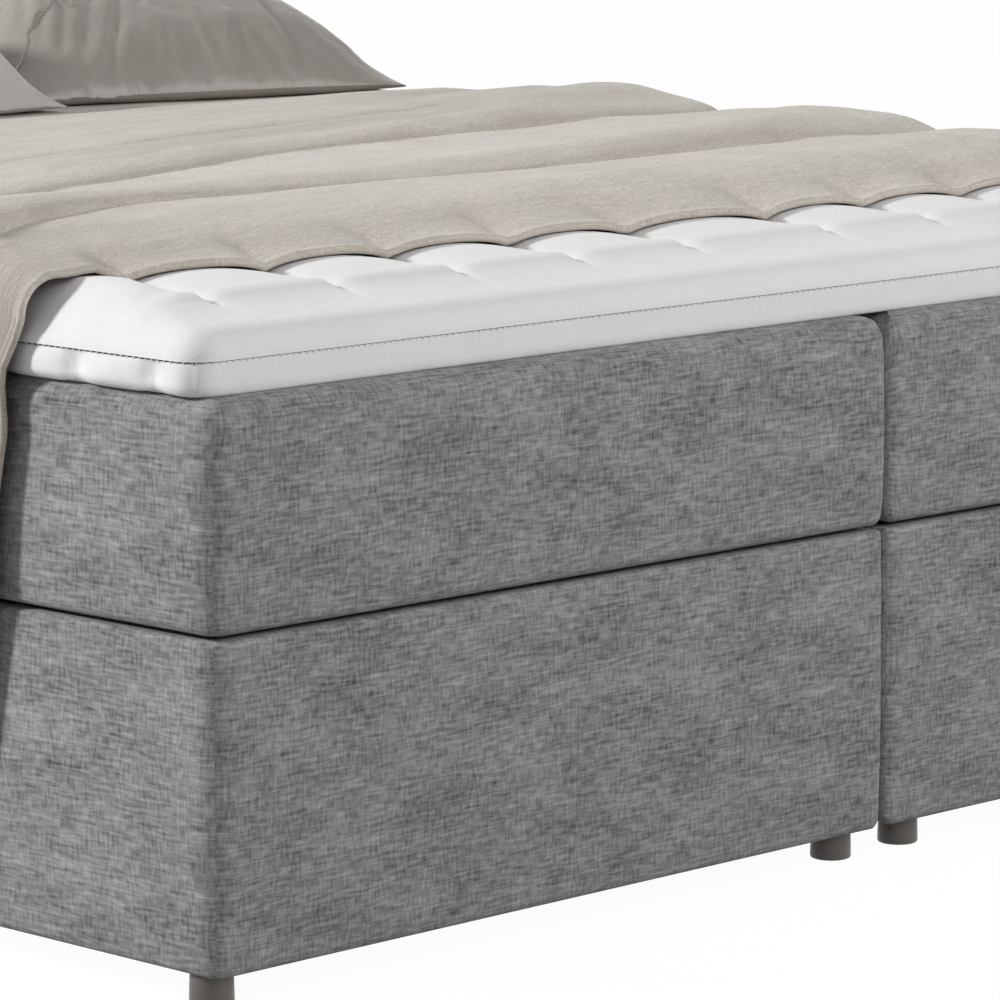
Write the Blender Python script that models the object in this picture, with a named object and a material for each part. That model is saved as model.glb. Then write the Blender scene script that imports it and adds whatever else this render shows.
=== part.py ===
# Box spring bed, 180 x 200 cm, made of two 90 cm halves under one quilted topper.
# Each half is a storage box on glides with an upholstered spring lid above it.
# The lids turn up about an axle at the head end, on two gas struts each.
# Metres, +Z up, X across the bed, +Y towards the head end, origin on the floor under the middle.

import math

import bmesh
import bpy
from mathutils import Matrix, Vector

# Overall sizes
bed_width = 1.800
bed_length = 2.000
half_gap = 0.004
touch_gap = 0.0003
running_gap = 0.0005

# Storage boxes
foot_height = 0.030
base_height = 0.302
upright_edge_radius = 0.022
base_bottom_radius = 0.008
base_top_radius = 0.005
cover_thickness = 0.002
padding_thickness = 0.006
panel_thickness = 0.016
lip_inset = 0.010
board_thickness = 0.006

# Glides under the boxes
foot_radius = 0.0205
foot_chamfer = 0.002
foot_top_radius = 0.019
foot_recess_radius = 0.0075
foot_recess_depth = 0.012
foot_side_inset = 0.031
foot_end_inset = 0.040
right_box_split_foot_inset = 0.068
connector_length = 0.100
connector_width = 0.060
connector_thickness = 0.003
connector_reach = 0.600

# Spring lids
seam_gap = 0.004
lid_height = 0.209
lid_top_radius = 0.024
lid_bottom_radius = 0.009
head_edge_radius = 0.026
head_edge_stop = math.radians(60)
rail_inset = 0.0109
rail_thickness = 0.018
rail_height = 0.060
rail_rise = 0.0048
rail_head_inset = 0.055
underboard_thickness = 0.0035
underboard_edge = 0.0186
slat_thickness = 0.012
slat_width = 0.070
slat_count = 10
skirt_thickness = 0.0083
edge_foam_width = 0.055
spring_height = 0.092
spring_pitch = 0.070
pocket_bulge = 0.006
felt_thickness = 0.003

# Lift fittings at the head end, placed from the hinge axle
fitting_thickness = 0.0037
axle_lobe_radius = 0.012
axle_radius = 0.004
axle_head_radius = 0.0065
axle_head_thickness = 0.0035
arm_front = 0.284
plate_rear = 0.008
plate_neck_front = 0.0275
plate_neck_drop = 0.037
plate_front = 0.074
plate_low = 0.152
plate_foot_radius = 0.020

# Gas struts, placed from the hinge axle
strut_foot_back = 0.110
strut_foot_drop = 0.240
strut_head_back = 0.260
strut_head_drop = 0.035
strut_side_clearance = 0.0026
strut_tube_radius = 0.010
strut_tube_bore = 0.0046
strut_tube_start = 0.0115
strut_tube_end = 0.195
strut_tube_floor = 0.024
strut_tube_chamfer = 0.001
strut_rod_radius = 0.004
strut_rod_start = 0.0110
strut_rod_length = 0.222
strut_eye_width = 0.008
strut_eye_radius = 0.013
strut_eye_tab = 0.018
strut_eye_tab_half = 0.0055
strut_foot_hole = 0.0043
strut_head_hole = 0.0080
stud_radius = 0.004
stud_shoulder_radius = 0.006
stud_foot_head_radius = 0.0075
stud_lid_head_radius = 0.011
stud_head = 0.0022
head_lobe_radius = 0.0105
arm_foot_width = 0.022
strut_notch_half = 0.035
strut_notch_inset = 0.055
arm_notch_clearance = 0.001

# Topper
topper_length = 1.960
topper_height = 0.080
topper_corner_radius = 0.030
topper_seam_rise = 0.0295
topper_seam_height = 0.001
topper_skin = 0.003
topper_core_inset = 0.014
topper_quilt_thickness = 0.028
tuft_first_x = 0.100
tuft_first_y = 0.100
tuft_pitch_x = 0.158
tuft_pitch_y = 0.1257
tuft_wide_after = 5
tuft_wide_extra = 0.048
tuft_depth = 0.016
tuft_valley = 0.004
topper_shoulder = 0.034
zip_inset = 0.0048

# Bedspread: a rolled front edge, then rolls with a steep front and a gentle back
spread_thickness = 0.006
spread_side_gap = 0.0035
spread_corner_radius = 0.030
spread_hem_height = 0.100
spread_hem_back = 0.120
spread_back = 0.965
spread_nose_radius = 0.0135
spread_nose_fade = 0.300
spread_front_rise = 0.021
spread_front_reach = 0.100
spread_front_hold = 0.140
spread_front_end = 0.420
spread_roll_front = 0.058
spread_roll_end = 0.330
spread_flat_from = 0.460
spread_flat_at = 0.620
spread_hang_keep_share = 0.350
spread_hang_stand = 0.0125
spread_hang_fold = 0.0115
spread_hang_fold_pitch = 0.292
spread_front_row_shares = (0.0, 0.3, 0.6, 0.8)
spread_hang_steps = 4
spread_bend_steps = 3
spread_top_steps = 14

# Front edge and the foot of each roll at nine stations across the bed, as shares of its half width and length
station_shares = (-1.00, -0.75, -0.50, -0.25, 0.00, 0.25, 0.50, 0.75, 1.00)
front_shares = (-0.790, -0.816, -0.808, -0.831, -0.856, -0.822, -0.803, -0.800, -0.800)
roll_foot_shares = (
    (-0.700, -0.571, -0.473, -0.475, -0.468, -0.452, -0.440, -0.458, -0.470),
    (-0.520, -0.427, -0.315, -0.213, -0.121, -0.081, -0.064, -0.034, 0.030),
    (-0.160, -0.104, -0.050, -0.005, 0.035, 0.103, 0.129, 0.205, 0.280),
    (0.200, 0.246, 0.290, 0.322, 0.349, 0.373, 0.395, 0.418, 0.440),
)
roll_heights = (
    (0.020, 0.019, 0.018, 0.017, 0.016, 0.018, 0.020, 0.021, 0.022),
    (0.012, 0.014, 0.015, 0.014, 0.013, 0.017, 0.020, 0.023, 0.026),
    (0.006, 0.006, 0.007, 0.007, 0.010, 0.016, 0.020, 0.022, 0.024),
    (0.008, 0.007, 0.006, 0.005, 0.004, 0.006, 0.007, 0.006, 0.006),
)

# Pillows: place of the middle and half size, as shares of the bed's half width and half length, and turn
pillow_height = 0.145
pillow_belly = 0.040
pillow_drawn_share = 0.070
pillow_flat_share = 0.500
pillow_steps = (14, 10)
pillow_shares = {
    "pillow_right": ((0.753, 0.782), (0.249, 0.172), math.radians(-12)),
    "pillow_middle": ((0.039, 0.782), (0.294, 0.190), math.radians(3)),
    "pillow_left": ((-0.689, 0.780), (0.283, 0.178), math.radians(9)),
}

# Levels and insets worked out from the sizes above
base_bottom = foot_height
base_top = foot_height + base_height
panel_inset = cover_thickness + padding_thickness + 2 * touch_gap
panel_inner = panel_inset + panel_thickness
panel_bottom = base_bottom + cover_thickness + touch_gap
panel_top = base_top - cover_thickness - touch_gap
board_top = panel_bottom + board_thickness
lid_bottom = base_top + seam_gap
lid_top = lid_bottom + lid_height
pivot_y = bed_length / 2 - head_edge_radius
pivot_z = lid_bottom + head_edge_radius
rail_inner = rail_inset + rail_thickness
arm_inset = rail_inner + touch_gap
arm_inner = arm_inset + fitting_thickness
rail_bottom = lid_bottom + rail_rise
rail_top = rail_bottom + rail_height
slat_bottom = rail_top + touch_gap
slat_top = slat_bottom + slat_thickness
spring_bottom = slat_top + touch_gap
spring_top = spring_bottom + spring_height
felt_bottom = spring_top + touch_gap
felt_top = felt_bottom + felt_thickness
topper_bottom = lid_top + touch_gap
topper_top = topper_bottom + topper_height
spread_bottom = topper_top + touch_gap
pillow_rest = spread_bottom + spread_thickness + touch_gap
strut_foot_y = pivot_y - strut_foot_back
strut_foot_z = pivot_z - strut_foot_drop
strut_head_y = pivot_y - strut_head_back
strut_head_z = pivot_z - strut_head_drop
eye_inset = arm_inner + strut_side_clearance
eye_inner = eye_inset + strut_eye_width
arc_steps = 2
corner_steps = 3
round_steps = 8

half_sides = {
    "left": (-bed_width / 2, -half_gap / 2),
    "right": (half_gap / 2, bed_width / 2),
}
front_y = -bed_length / 2
back_y = bed_length / 2


def clear_scene():
    """Remove what the scene holds before modelling."""
    for old in list(bpy.data.objects):
        bpy.data.objects.remove(old, do_unlink=True)


def finish_material(name, colour, roughness, metallic=0.0):
    """One Principled material."""
    material = bpy.data.materials.new(name)
    material.use_nodes = True
    shader = material.node_tree.nodes["Principled BSDF"]
    shader.inputs["Base Color"].default_value = (*colour, 1.0)
    shader.inputs["Roughness"].default_value = roughness
    shader.inputs["Metallic"].default_value = metallic
    return material


def grey_melange(name):
    return finish_material(name, (0.200, 0.200, 0.200), 0.95)


def foam_material(name):
    return finish_material(name, (0.780, 0.740, 0.560), 0.95)


def wood_material(name):
    return finish_material(name, (0.560, 0.400, 0.230), 0.70)


def steel_material(name):
    return finish_material(name, (0.450, 0.450, 0.460), 0.35, 1.0)


def add_object(name, bm, material, smooth_angle=None):
    """Turn a bmesh into a named object with outward faces and its own material."""
    bmesh.ops.recalc_face_normals(bm, faces=bm.faces[:])
    mesh = bpy.data.meshes.new(name)
    bm.to_mesh(mesh)
    bm.free()
    if smooth_angle is not None:
        mesh.shade_smooth()
        mesh.set_sharp_from_angle(angle=smooth_angle)
    mesh.materials.append(material)
    obj = bpy.data.objects.new(name, mesh)
    bpy.context.scene.collection.objects.link(obj)
    return obj


def add_loft(bm, rings, closed=False):
    """Skin a row of rings that have as many points each, with caps on the ends unless closed."""
    loops = [[bm.verts.new(point) for point in ring] for ring in rings]
    count = len(loops[0])
    pairs = list(zip(loops, loops[1:]))
    if closed:
        pairs.append((loops[-1], loops[0]))
    else:
        bm.faces.new(loops[0])
        bm.faces.new(loops[-1])
    for low, high in pairs:
        for i in range(count):
            j = (i + 1) % count
            bm.faces.new((low[i], low[j], high[j], high[i]))


def add_box(bm, low, high):
    """A plain box between two corners."""
    corners = ((low[0], low[1]), (high[0], low[1]), (high[0], high[1]), (low[0], high[1]))
    add_loft(bm, [[(x, y, z) for x, y in corners] for z in (low[2], high[2])])


def add_prism(bm, outline, start, end, place):
    """Push a flat outline from start to end; place turns (a, b, depth) into a point."""
    add_loft(bm, [[place(a, b, depth) for a, b in outline] for depth in (start, end)])


def flat_place(a, b, depth):
    """Place for an outline that lies flat and is pushed upwards."""
    return (a, b, depth)


def circle_points(centre, radius):
    """Points round a circle in a flat outline."""
    turns = [2 * math.pi * i / round_steps for i in range(round_steps)]
    return [(centre[0] + radius * math.cos(t), centre[1] + radius * math.sin(t)) for t in turns]


def hole_points(centre, radius):
    """Points round a hole, whose flats lie outside its circle so that a round stud can turn in it."""
    return circle_points(centre, radius / math.cos(math.pi / round_steps))


def add_plate(bm, outline, holes, studs, start, end, place):
    """A flat plate with openings, whose face at the end depth may carry round studs.

    holes are outlines; studs are (centre, profile) with (radius, depth) pairs from the face out.
    """
    def loop_at(points, depth):
        return [bm.verts.new(place(a, b, depth)) for a, b in points]

    def fill(loops):
        edges = []
        for loop in loops:
            for k, point in enumerate(loop):
                after = loop[(k + 1) % len(loop)]
                edges.append(bm.edges.get((point, after)) or bm.edges.new((point, after)))
        bmesh.ops.triangle_fill(bm, use_beauty=True, edges=edges)

    near = [loop_at(points, start) for points in (outline, *holes)]
    far = [loop_at(points, end) for points in (outline, *holes)]
    feet = [loop_at(circle_points(centre, profile[0][0]), end) for centre, profile in studs]
    fill(near)
    fill(far + feet)
    for low, high in zip(near, far):
        for k in range(len(low)):
            after = (k + 1) % len(low)
            bm.faces.new((low[k], low[after], high[after], high[k]))
    for (centre, profile), ring in zip(studs, feet):
        for radius, depth in profile[1:]:
            following = loop_at(circle_points(centre, radius), depth)
            for k in range(len(ring)):
                after = (k + 1) % len(ring)
                bm.faces.new((ring[k], ring[after], following[after], following[k]))
            ring = following
        bm.faces.new(ring)


def combine(obj, other, operation):
    """Add another solid to an object, or cut it out, with a live Boolean."""
    other.hide_render = True
    other.display_type = "WIRE"
    modifier = obj.modifiers.new(other.name, "BOOLEAN")
    modifier.operation = operation
    modifier.solver = "EXACT"
    modifier.object = other


def carry(name, place, pieces):
    """Parent pieces, and what is joined to them or cut from them, to an empty on their joint's axis."""
    empty = bpy.data.objects.new(name, None)
    empty.location = place
    bpy.context.scene.collection.objects.link(empty)
    for piece in pieces:
        helpers = [modifier.object for modifier in piece.modifiers]
        for obj in (piece, *helpers):
            obj.parent = empty
            obj.matrix_parent_inverse = Matrix.Translation(place).inverted()


def add_turned(bm, origin, direction, profile, closed=False, steps=round_steps):
    """A round piece from (radius, distance) pairs along a direction."""
    along = Vector(direction).normalized()
    across = along.orthogonal().normalized()
    beside = along.cross(across)
    rings = []
    for radius, distance in profile:
        centre = Vector(origin) + along * distance
        turns = [2 * math.pi * i / steps for i in range(steps)]
        rings.append([centre + radius * (math.cos(t) * across + math.sin(t) * beside) for t in turns])
    add_loft(bm, rings, closed)


def lobe(centre, radius, start, stop, steps):
    """Points on an arc in a flat outline."""
    turns = [start + (stop - start) * i / steps for i in range(steps + 1)]
    return [(centre[0] + radius * math.cos(t), centre[1] + radius * math.sin(t)) for t in turns]


def box_ring(sides, ends, insets, levels, edge_radius):
    """A rounded rectangle whose four sides have their own inset and level.

    insets and levels are for the low X, low Y, high X and high Y sides.
    """
    left, front, right, back = insets
    z_left, z_front, z_right, z_back = levels
    corners = (
        (sides[0] + left, ends[0] + front, 1, 1, 180, z_left, z_front),
        (sides[1] - right, ends[0] + front, -1, 1, 270, z_front, z_right),
        (sides[1] - right, ends[1] - back, -1, -1, 0, z_right, z_back),
        (sides[0] + left, ends[1] - back, 1, -1, 90, z_back, z_left),
    )
    ring = []
    for x, y, in_x, in_y, start, z_from, z_to in corners:
        for i in range(corner_steps + 1):
            share = i / corner_steps
            turn = math.radians(start + 90 * share)
            ring.append((
                x + edge_radius * (in_x + math.cos(turn)),
                y + edge_radius * (in_y + math.sin(turn)),
                z_from + (z_to - z_from) * share,
            ))
    return ring


def same_sides(inset, level):
    """Insets and levels that are alike on all four sides."""
    return (inset,) * 4, (level,) * 4


def corner_radius(radius, inset):
    """The plan radius left at an inset, never quite sharp."""
    return max(radius - inset, cover_thickness)


def quarter(centre_inset, centre_level, radius, start, stop):
    """(inset, level) points of an edge rounding, angles from outward, upward positive."""
    points = []
    for i in range(arc_steps + 1):
        turn = start + (stop - start) * i / arc_steps
        points.append((centre_inset - radius * math.cos(turn), centre_level + radius * math.sin(turn)))
    return points


def across_x(half, inset_side, inset):
    """X at an inset from the outer or the split face of a half."""
    low, high = half_sides[half]
    from_low = (half == "left") == (inset_side == "outer")
    return low + inset if from_low else high - inset


def sideways(half, inset_side):
    """Turn (y, z, inset) into a point beside the outer or the split face of a half."""
    return lambda y, z, inset: (across_x(half, inset_side, inset), y, z)


def add_slab(bm, half, inset, low_z, high_z):
    """A flat layer of one half, at an inset from its faces."""
    radius = corner_radius(upright_edge_radius, inset)
    ends = (front_y, back_y)
    add_loft(bm, [box_ring(half_sides[half], ends, *same_sides(inset, z), radius) for z in (low_z, high_z)])


def make_feet():
    """One turned plastic glide under each corner of a box."""
    top = panel_bottom - touch_gap
    profile = (
        (foot_recess_radius, foot_recess_depth),
        (foot_recess_radius, 0.0),
        (foot_radius - foot_chamfer, 0.0),
        (foot_radius, foot_chamfer),
        (foot_top_radius, top),
    )
    plastic = finish_material("glide_plastic", (0.075, 0.070, 0.062), 0.45)
    for half in half_sides:
        for side in ("outer", "split"):
            inset = foot_side_inset
            if half == "right" and side == "split":
                inset = right_box_split_foot_inset
            x = across_x(half, side, inset)
            for end, y in (("front", front_y + foot_end_inset), ("head", back_y - foot_end_inset)):
                bm = bmesh.new()
                add_turned(bm, (x, y, 0.0), (0, 0, 1), profile, steps=12)
                add_object(f"foot_{half}_{side}_{end}", bm, plastic, math.radians(40))


def make_box_connectors():
    """Flat steel plates that tie the two boxes together from below."""
    steel = steel_material("connector_steel")
    top = base_bottom - touch_gap
    for end, y in (("front", -connector_reach), ("head", connector_reach)):
        bm = bmesh.new()
        low = (-connector_length / 2, y - connector_width / 2, top - connector_thickness)
        add_box(bm, low, (connector_length / 2, y + connector_width / 2, top))
        add_object(f"box_connector_{end}", bm, steel)


def make_bottom_board(half):
    """Thin board that closes a box below."""
    bm = bmesh.new()
    add_slab(bm, half, panel_inner + touch_gap, panel_bottom, board_top)
    add_object(f"bottom_board_{half}", bm, finish_material(f"board_{half}", (0.420, 0.310, 0.190), 0.80))


def add_sleeve(bm, half, outer, inner, low_z, high_z):
    """An upright ring that runs round a half between two insets."""
    rings = []
    for inset, level in ((outer, low_z), (outer, high_z), (inner, high_z), (inner, low_z)):
        radius = corner_radius(upright_edge_radius, inset)
        rings.append(box_ring(half_sides[half], (front_y, back_y), *same_sides(inset, level), radius))
    add_loft(bm, rings, closed=True)


def make_base_frame(half):
    """The box's four panels, glued into one frame with rounded upright edges."""
    bm = bmesh.new()
    add_sleeve(bm, half, panel_inset, panel_inner, panel_bottom, panel_top)
    add_object(f"base_frame_{half}", bm, wood_material(f"base_wood_{half}"))


def make_base_padding(half):
    """Thin foam between the frame and its cover."""
    bm = bmesh.new()
    outer, inner = cover_thickness + touch_gap, panel_inset - touch_gap
    add_sleeve(bm, half, outer, inner, base_bottom + base_bottom_radius, base_top - base_top_radius)
    add_object(f"base_padding_{half}", bm, foam_material(f"base_foam_{half}"), math.radians(40))


def make_base_cover(half):
    """Upholstery of a storage box: a sleeve turned under the bottom and over the panel tops."""
    bm = bmesh.new()
    bottom, top, skin = base_bottom_radius, base_top_radius, cover_thickness
    right_angle = math.pi / 2
    outer = [(lip_inset, base_bottom)]
    outer += quarter(bottom, base_bottom + bottom, bottom, -right_angle, 0.0)
    outer += quarter(top, base_top - top, top, 0.0, right_angle)
    outer += [(panel_inner, base_top)]
    inner = [(panel_inner, base_top - skin)]
    inner += quarter(top, base_top - top, top - skin, right_angle, 0.0)
    inner += quarter(bottom, base_bottom + bottom, bottom - skin, 0.0, -right_angle)
    inner += [(lip_inset, base_bottom + skin)]
    rings = []
    for inset, level in outer + inner:
        insets, levels = same_sides(inset, level)
        radius = corner_radius(upright_edge_radius, inset)
        rings.append(box_ring(half_sides[half], (front_y, back_y), insets, levels, radius))
    add_loft(bm, rings, closed=True)
    add_object(f"base_cover_{half}", bm, grey_melange(f"base_fabric_{half}"), math.radians(35))


def make_lid_cover(half):
    """Upholstery of a spring lid, open below; its head end bottom edge is round about the axle."""
    bm = bmesh.new()
    right_angle = math.pi / 2

    def side_profile(skin):
        low, high = lid_bottom_radius, lid_top_radius
        points = [(lip_inset, lid_bottom + skin)]
        points += quarter(low, lid_bottom + low, low - skin, -right_angle, 0.0)
        return points + quarter(high, lid_top - high, high - skin, 0.0, right_angle)

    def head_profile(skin):
        round_edge = head_edge_radius
        points = []
        for i in range(arc_steps + 2):
            turn = -head_edge_stop * (1 - i / (arc_steps + 1))
            reach = round_edge - skin
            points.append((round_edge - reach * math.cos(turn), pivot_z + reach * math.sin(turn)))
        high = lid_top_radius
        return points + quarter(high, lid_top - high, high - skin, 0.0, right_angle)

    rings = []
    for skin, order in ((cover_thickness, -1), (0.0, 1)):
        profile = list(zip(side_profile(skin), head_profile(skin)))
        for (inset, level), (head_inset, head_level) in profile[::order]:
            insets = (inset, inset, inset, head_inset)
            levels = (level, level, level, head_level)
            radius = corner_radius(upright_edge_radius, max(inset, head_inset))
            rings.append(box_ring(half_sides[half], (front_y, back_y), insets, levels, radius))
    add_loft(bm, rings)
    return add_object(f"lid_cover_{half}", bm, grey_melange(f"lid_fabric_{half}"), math.radians(35))


def rectangle(x0, y0, x1, y1):
    """Corners of a rectangle in a flat outline."""
    return [(x0, y0), (x1, y0), (x1, y1), (x0, y1)]


def round_front_outline(x0, y0, x1, y1, radius):
    """A rectangle whose two low Y corners are rounded."""
    outline = lobe((x0 + radius, y0 + radius), radius, math.pi, 1.5 * math.pi, corner_steps)
    outline += lobe((x1 - radius, y0 + radius), radius, 1.5 * math.pi, 2 * math.pi, corner_steps)
    return outline + [(x1, y1), (x0, y1)]


def make_lid_frame(half):
    """Glued frame of rails, with a notch at each end of the head rail where the lift arm passes."""
    bm = bmesh.new()
    low, high = half_sides[half]
    rail_front, rail_back = front_y + rail_inset, back_y - rail_head_inset
    radius = upright_edge_radius - rail_inset
    outer = round_front_outline(low + rail_inset, rail_front, high - rail_inset, rail_back, radius)
    inner_ends = rail_front + rail_thickness, rail_back - rail_thickness
    inner = rectangle(low + rail_inner, inner_ends[0], high - rail_inner, inner_ends[1])
    add_plate(bm, outer, [inner], [], rail_bottom, rail_top, flat_place)
    frame = add_object(f"lid_frame_{half}", bm, wood_material(f"lid_wood_{half}"))
    for side in ("outer", "split"):
        bm = bmesh.new()
        notch_inner = arm_inner + arm_notch_clearance
        x = sorted((across_x(half, side, rail_inner), across_x(half, side, notch_inner)))
        y0 = rail_back - rail_thickness - arm_notch_clearance
        notch_top = pivot_z + axle_lobe_radius + arm_notch_clearance
        add_box(bm, (x[0], y0, rail_bottom - rail_rise), (x[1], rail_back + arm_notch_clearance, notch_top))
        cutter = add_object(f"arm_notch_{half}_{side}", bm, frame.data.materials[0])
        combine(frame, cutter, "DIFFERENCE")
    return frame


def make_slat_deck(half):
    """Slats joined by a strip along each side rail."""
    bm = bmesh.new()
    low, high = half_sides[half]
    edge = rail_inset + touch_gap
    front, back = front_y + edge, back_y - rail_head_inset
    pitch = (back - front - slat_width) / (slat_count - 1)
    holes = []
    for i in range(slat_count - 1):
        y = front + i * pitch + slat_width
        holes.append(rectangle(low + rail_inner, y, high - rail_inner, y + pitch - slat_width))
    outline = round_front_outline(low + edge, front, high - edge, back, upright_edge_radius - edge)
    add_plate(bm, outline, holes, [], slat_bottom, slat_top, flat_place)
    pale_wood = finish_material(f"slat_wood_{half}", (0.640, 0.480, 0.300), 0.60)
    return add_object(f"slat_deck_{half}", bm, pale_wood)


def make_underboard(half):
    """Thin board under the lid's rails, notched for the strut brackets."""
    bm = bmesh.new()
    low, high = half_sides[half]
    x0, x1 = low + underboard_edge, high - underboard_edge
    n0, n1 = low + strut_notch_inset, high - strut_notch_inset
    y0, y1 = front_y + underboard_edge, back_y - rail_head_inset
    a, b = strut_head_y - strut_notch_half, strut_head_y + strut_notch_half
    outline = [
        (x0, y0), (x1, y0), (x1, a), (n1, a), (n1, b), (x1, b),
        (x1, y1), (x0, y1), (x0, b), (n0, b), (n0, a), (x0, a),
    ]
    top = rail_bottom - touch_gap
    add_prism(bm, outline, top - underboard_thickness, top, flat_place)
    black = finish_material(f"board_black_{half}", (0.030, 0.030, 0.032), 0.90)
    return add_object(f"underboard_{half}", bm, black)


def make_edge_foam(half):
    """Foam frame round the springs, with a thin skirt down the outside of the rails."""
    bm = bmesh.new()
    outer = cover_thickness + touch_gap
    inner = outer + skirt_thickness
    wide = edge_foam_width
    skirt = lid_bottom + lid_bottom_radius
    ledge = slat_top + touch_gap
    corners = (
        (outer, skirt, pivot_z), (outer, spring_top, spring_top), (wide, spring_top, spring_top),
        (wide, ledge, ledge), (inner, ledge, ledge), (inner, skirt, pivot_z),
    )
    rings = []
    for inset, level, head_level in corners:
        levels = (level, level, level, head_level)
        radius = corner_radius(upright_edge_radius, inset)
        rings.append(box_ring(half_sides[half], (front_y, back_y), (inset,) * 4, levels, radius))
    add_loft(bm, rings, closed=True)
    return add_object(f"edge_foam_{half}", bm, foam_material(f"edge_foam_{half}"), math.radians(40))


def make_spring_core(half):
    """Pocket springs in their sleeves, as one block whose sides show the pockets."""
    bm = bmesh.new()
    low, high = half_sides[half]
    near = edge_foam_width + touch_gap
    x0, x1, y0, y1 = low + near, high - near, front_y + near, back_y - near
    across, along = round((x1 - x0) / spring_pitch), round((y1 - y0) / spring_pitch)
    outline = []
    walks = (
        (x0, y0, 1, 0, x1 - x0, across), (x1, y0, 0, 1, y1 - y0, along),
        (x1, y1, -1, 0, x1 - x0, across), (x0, y1, 0, -1, y1 - y0, along),
    )
    for x, y, way_x, way_y, length, count in walks:
        for i in range(2 * count):
            run = length * i / (2 * count) if i else pocket_bulge
            dent = pocket_bulge if i % 2 == 0 else 0.0
            outline.append((x + way_x * run - way_y * dent, y + way_y * run + way_x * dent))
    add_prism(bm, outline, spring_bottom, spring_top, flat_place)
    fleece = finish_material(f"pocket_fleece_{half}", (0.820, 0.820, 0.800), 0.90)
    return add_object(f"spring_core_{half}", bm, fleece)


def make_lid_layers(half):
    """Felt over the springs and the foam under the cover."""
    felt, foam = bmesh.new(), bmesh.new()
    outer = cover_thickness + touch_gap
    ends = (front_y, back_y)
    add_slab(felt, half, outer, felt_bottom, felt_top)
    inner_radius = lid_top_radius - outer
    profile = [(outer, felt_top + touch_gap)]
    profile += quarter(lid_top_radius, lid_top - lid_top_radius, inner_radius, 0.0, math.pi / 2)
    rings = []
    for inset, level in profile:
        insets, levels = same_sides(inset, level)
        radius = corner_radius(upright_edge_radius, inset)
        rings.append(box_ring(half_sides[half], ends, insets, levels, radius))
    add_loft(foam, rings)
    grey = finish_material(f"felt_{half}", (0.300, 0.290, 0.280), 0.95)
    pad = add_object(f"felt_pad_{half}", felt, grey)
    layer = add_object(f"foam_layer_{half}", foam, foam_material(f"lid_foam_{half}"), math.radians(40))
    return pad, layer


def stud_profile(face, head_radius):
    """A stud for a strut's eye: shoulder, shaft and flat head, from the face that carries it."""
    return (
        (stud_shoulder_radius, face), (stud_shoulder_radius, eye_inset - running_gap),
        (stud_radius, eye_inset - running_gap), (stud_radius, eye_inner + running_gap),
        (head_radius, eye_inner + running_gap), (head_radius, eye_inner + running_gap + stud_head),
    )


def make_lift_plate(half, side):
    """Steel plate inside a box panel, with the lid's axle above and the strut's stud below."""
    bm = bmesh.new()
    tip, foot = (pivot_y, pivot_z), (strut_foot_y, strut_foot_z)
    outline = [(tip[0] - plate_rear, tip[1] - plate_low)]
    outline += lobe(tip, axle_lobe_radius, math.radians(-130), math.radians(170), 7)
    outline += [
        (tip[0] - plate_neck_front, tip[1] - plate_neck_drop / 2),
        (tip[0] - plate_neck_front, tip[1] - plate_neck_drop),
        (tip[0] - plate_front, tip[1] - plate_neck_drop - (plate_front - plate_neck_front)),
    ]
    outline += lobe(foot, plate_foot_radius, math.radians(170), math.radians(330), 5)
    face = rail_inner
    axle = (
        (axle_radius, face), (axle_radius, arm_inner + touch_gap),
        (axle_head_radius, arm_inner + touch_gap),
        (axle_head_radius, arm_inner + touch_gap + axle_head_thickness),
    )
    studs = [(tip, axle), (foot, stud_profile(face, stud_foot_head_radius))]
    add_plate(bm, outline, [], studs, face - fitting_thickness, face, sideways(half, side))
    add_object(f"lift_plate_{half}_{side}", bm, steel_material(f"lift_plate_steel_{half}_{side}"))


def make_lift_arm(half, side):
    """Steel arm on a lid rail: the axle's eye at the head end and the strut's stud at the other."""
    bm = bmesh.new()
    tip, head = (pivot_y, pivot_z), (strut_head_y, strut_head_z)
    low, high, front = tip[1] - axle_lobe_radius, tip[1] + axle_lobe_radius, tip[0] - arm_front
    outline = lobe(tip, axle_lobe_radius, -math.pi / 2, math.pi / 2, 4)
    outline += [(front, high), (front, low)]
    outline += lobe(head, head_lobe_radius, math.pi, 2 * math.pi, 4)
    outline += [(head[0] + arm_foot_width, low)]
    hole = hole_points(tip, axle_radius + touch_gap)
    studs = [(head, stud_profile(arm_inner, stud_lid_head_radius))]
    add_plate(bm, outline, [hole], studs, arm_inset, arm_inner, sideways(half, side))
    return add_object(f"lift_arm_{half}_{side}", bm, steel_material(f"lift_arm_steel_{half}_{side}"))


def make_strut_eye(name, half, side, centre, along, hole_radius, material):
    """Flat eye with a tab that points along the strut."""
    bm = bmesh.new()
    lean = math.atan2(along[1], along[0])
    tab = math.asin(strut_eye_tab_half / strut_eye_radius)
    reach = math.hypot(strut_eye_tab_half, strut_eye_tab)
    tip = math.atan2(strut_eye_tab_half, strut_eye_tab)
    outline = lobe(centre, strut_eye_radius, lean + tab, lean + 2 * math.pi - tab, 7)
    for turn in (lean - tip, lean + tip):
        outline.append((centre[0] + reach * math.cos(turn), centre[1] + reach * math.sin(turn)))
    hole = hole_points(centre, hole_radius)
    add_plate(bm, outline, [hole], [], eye_inset, eye_inner, sideways(half, side))
    return add_object(name, bm, material)


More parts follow.
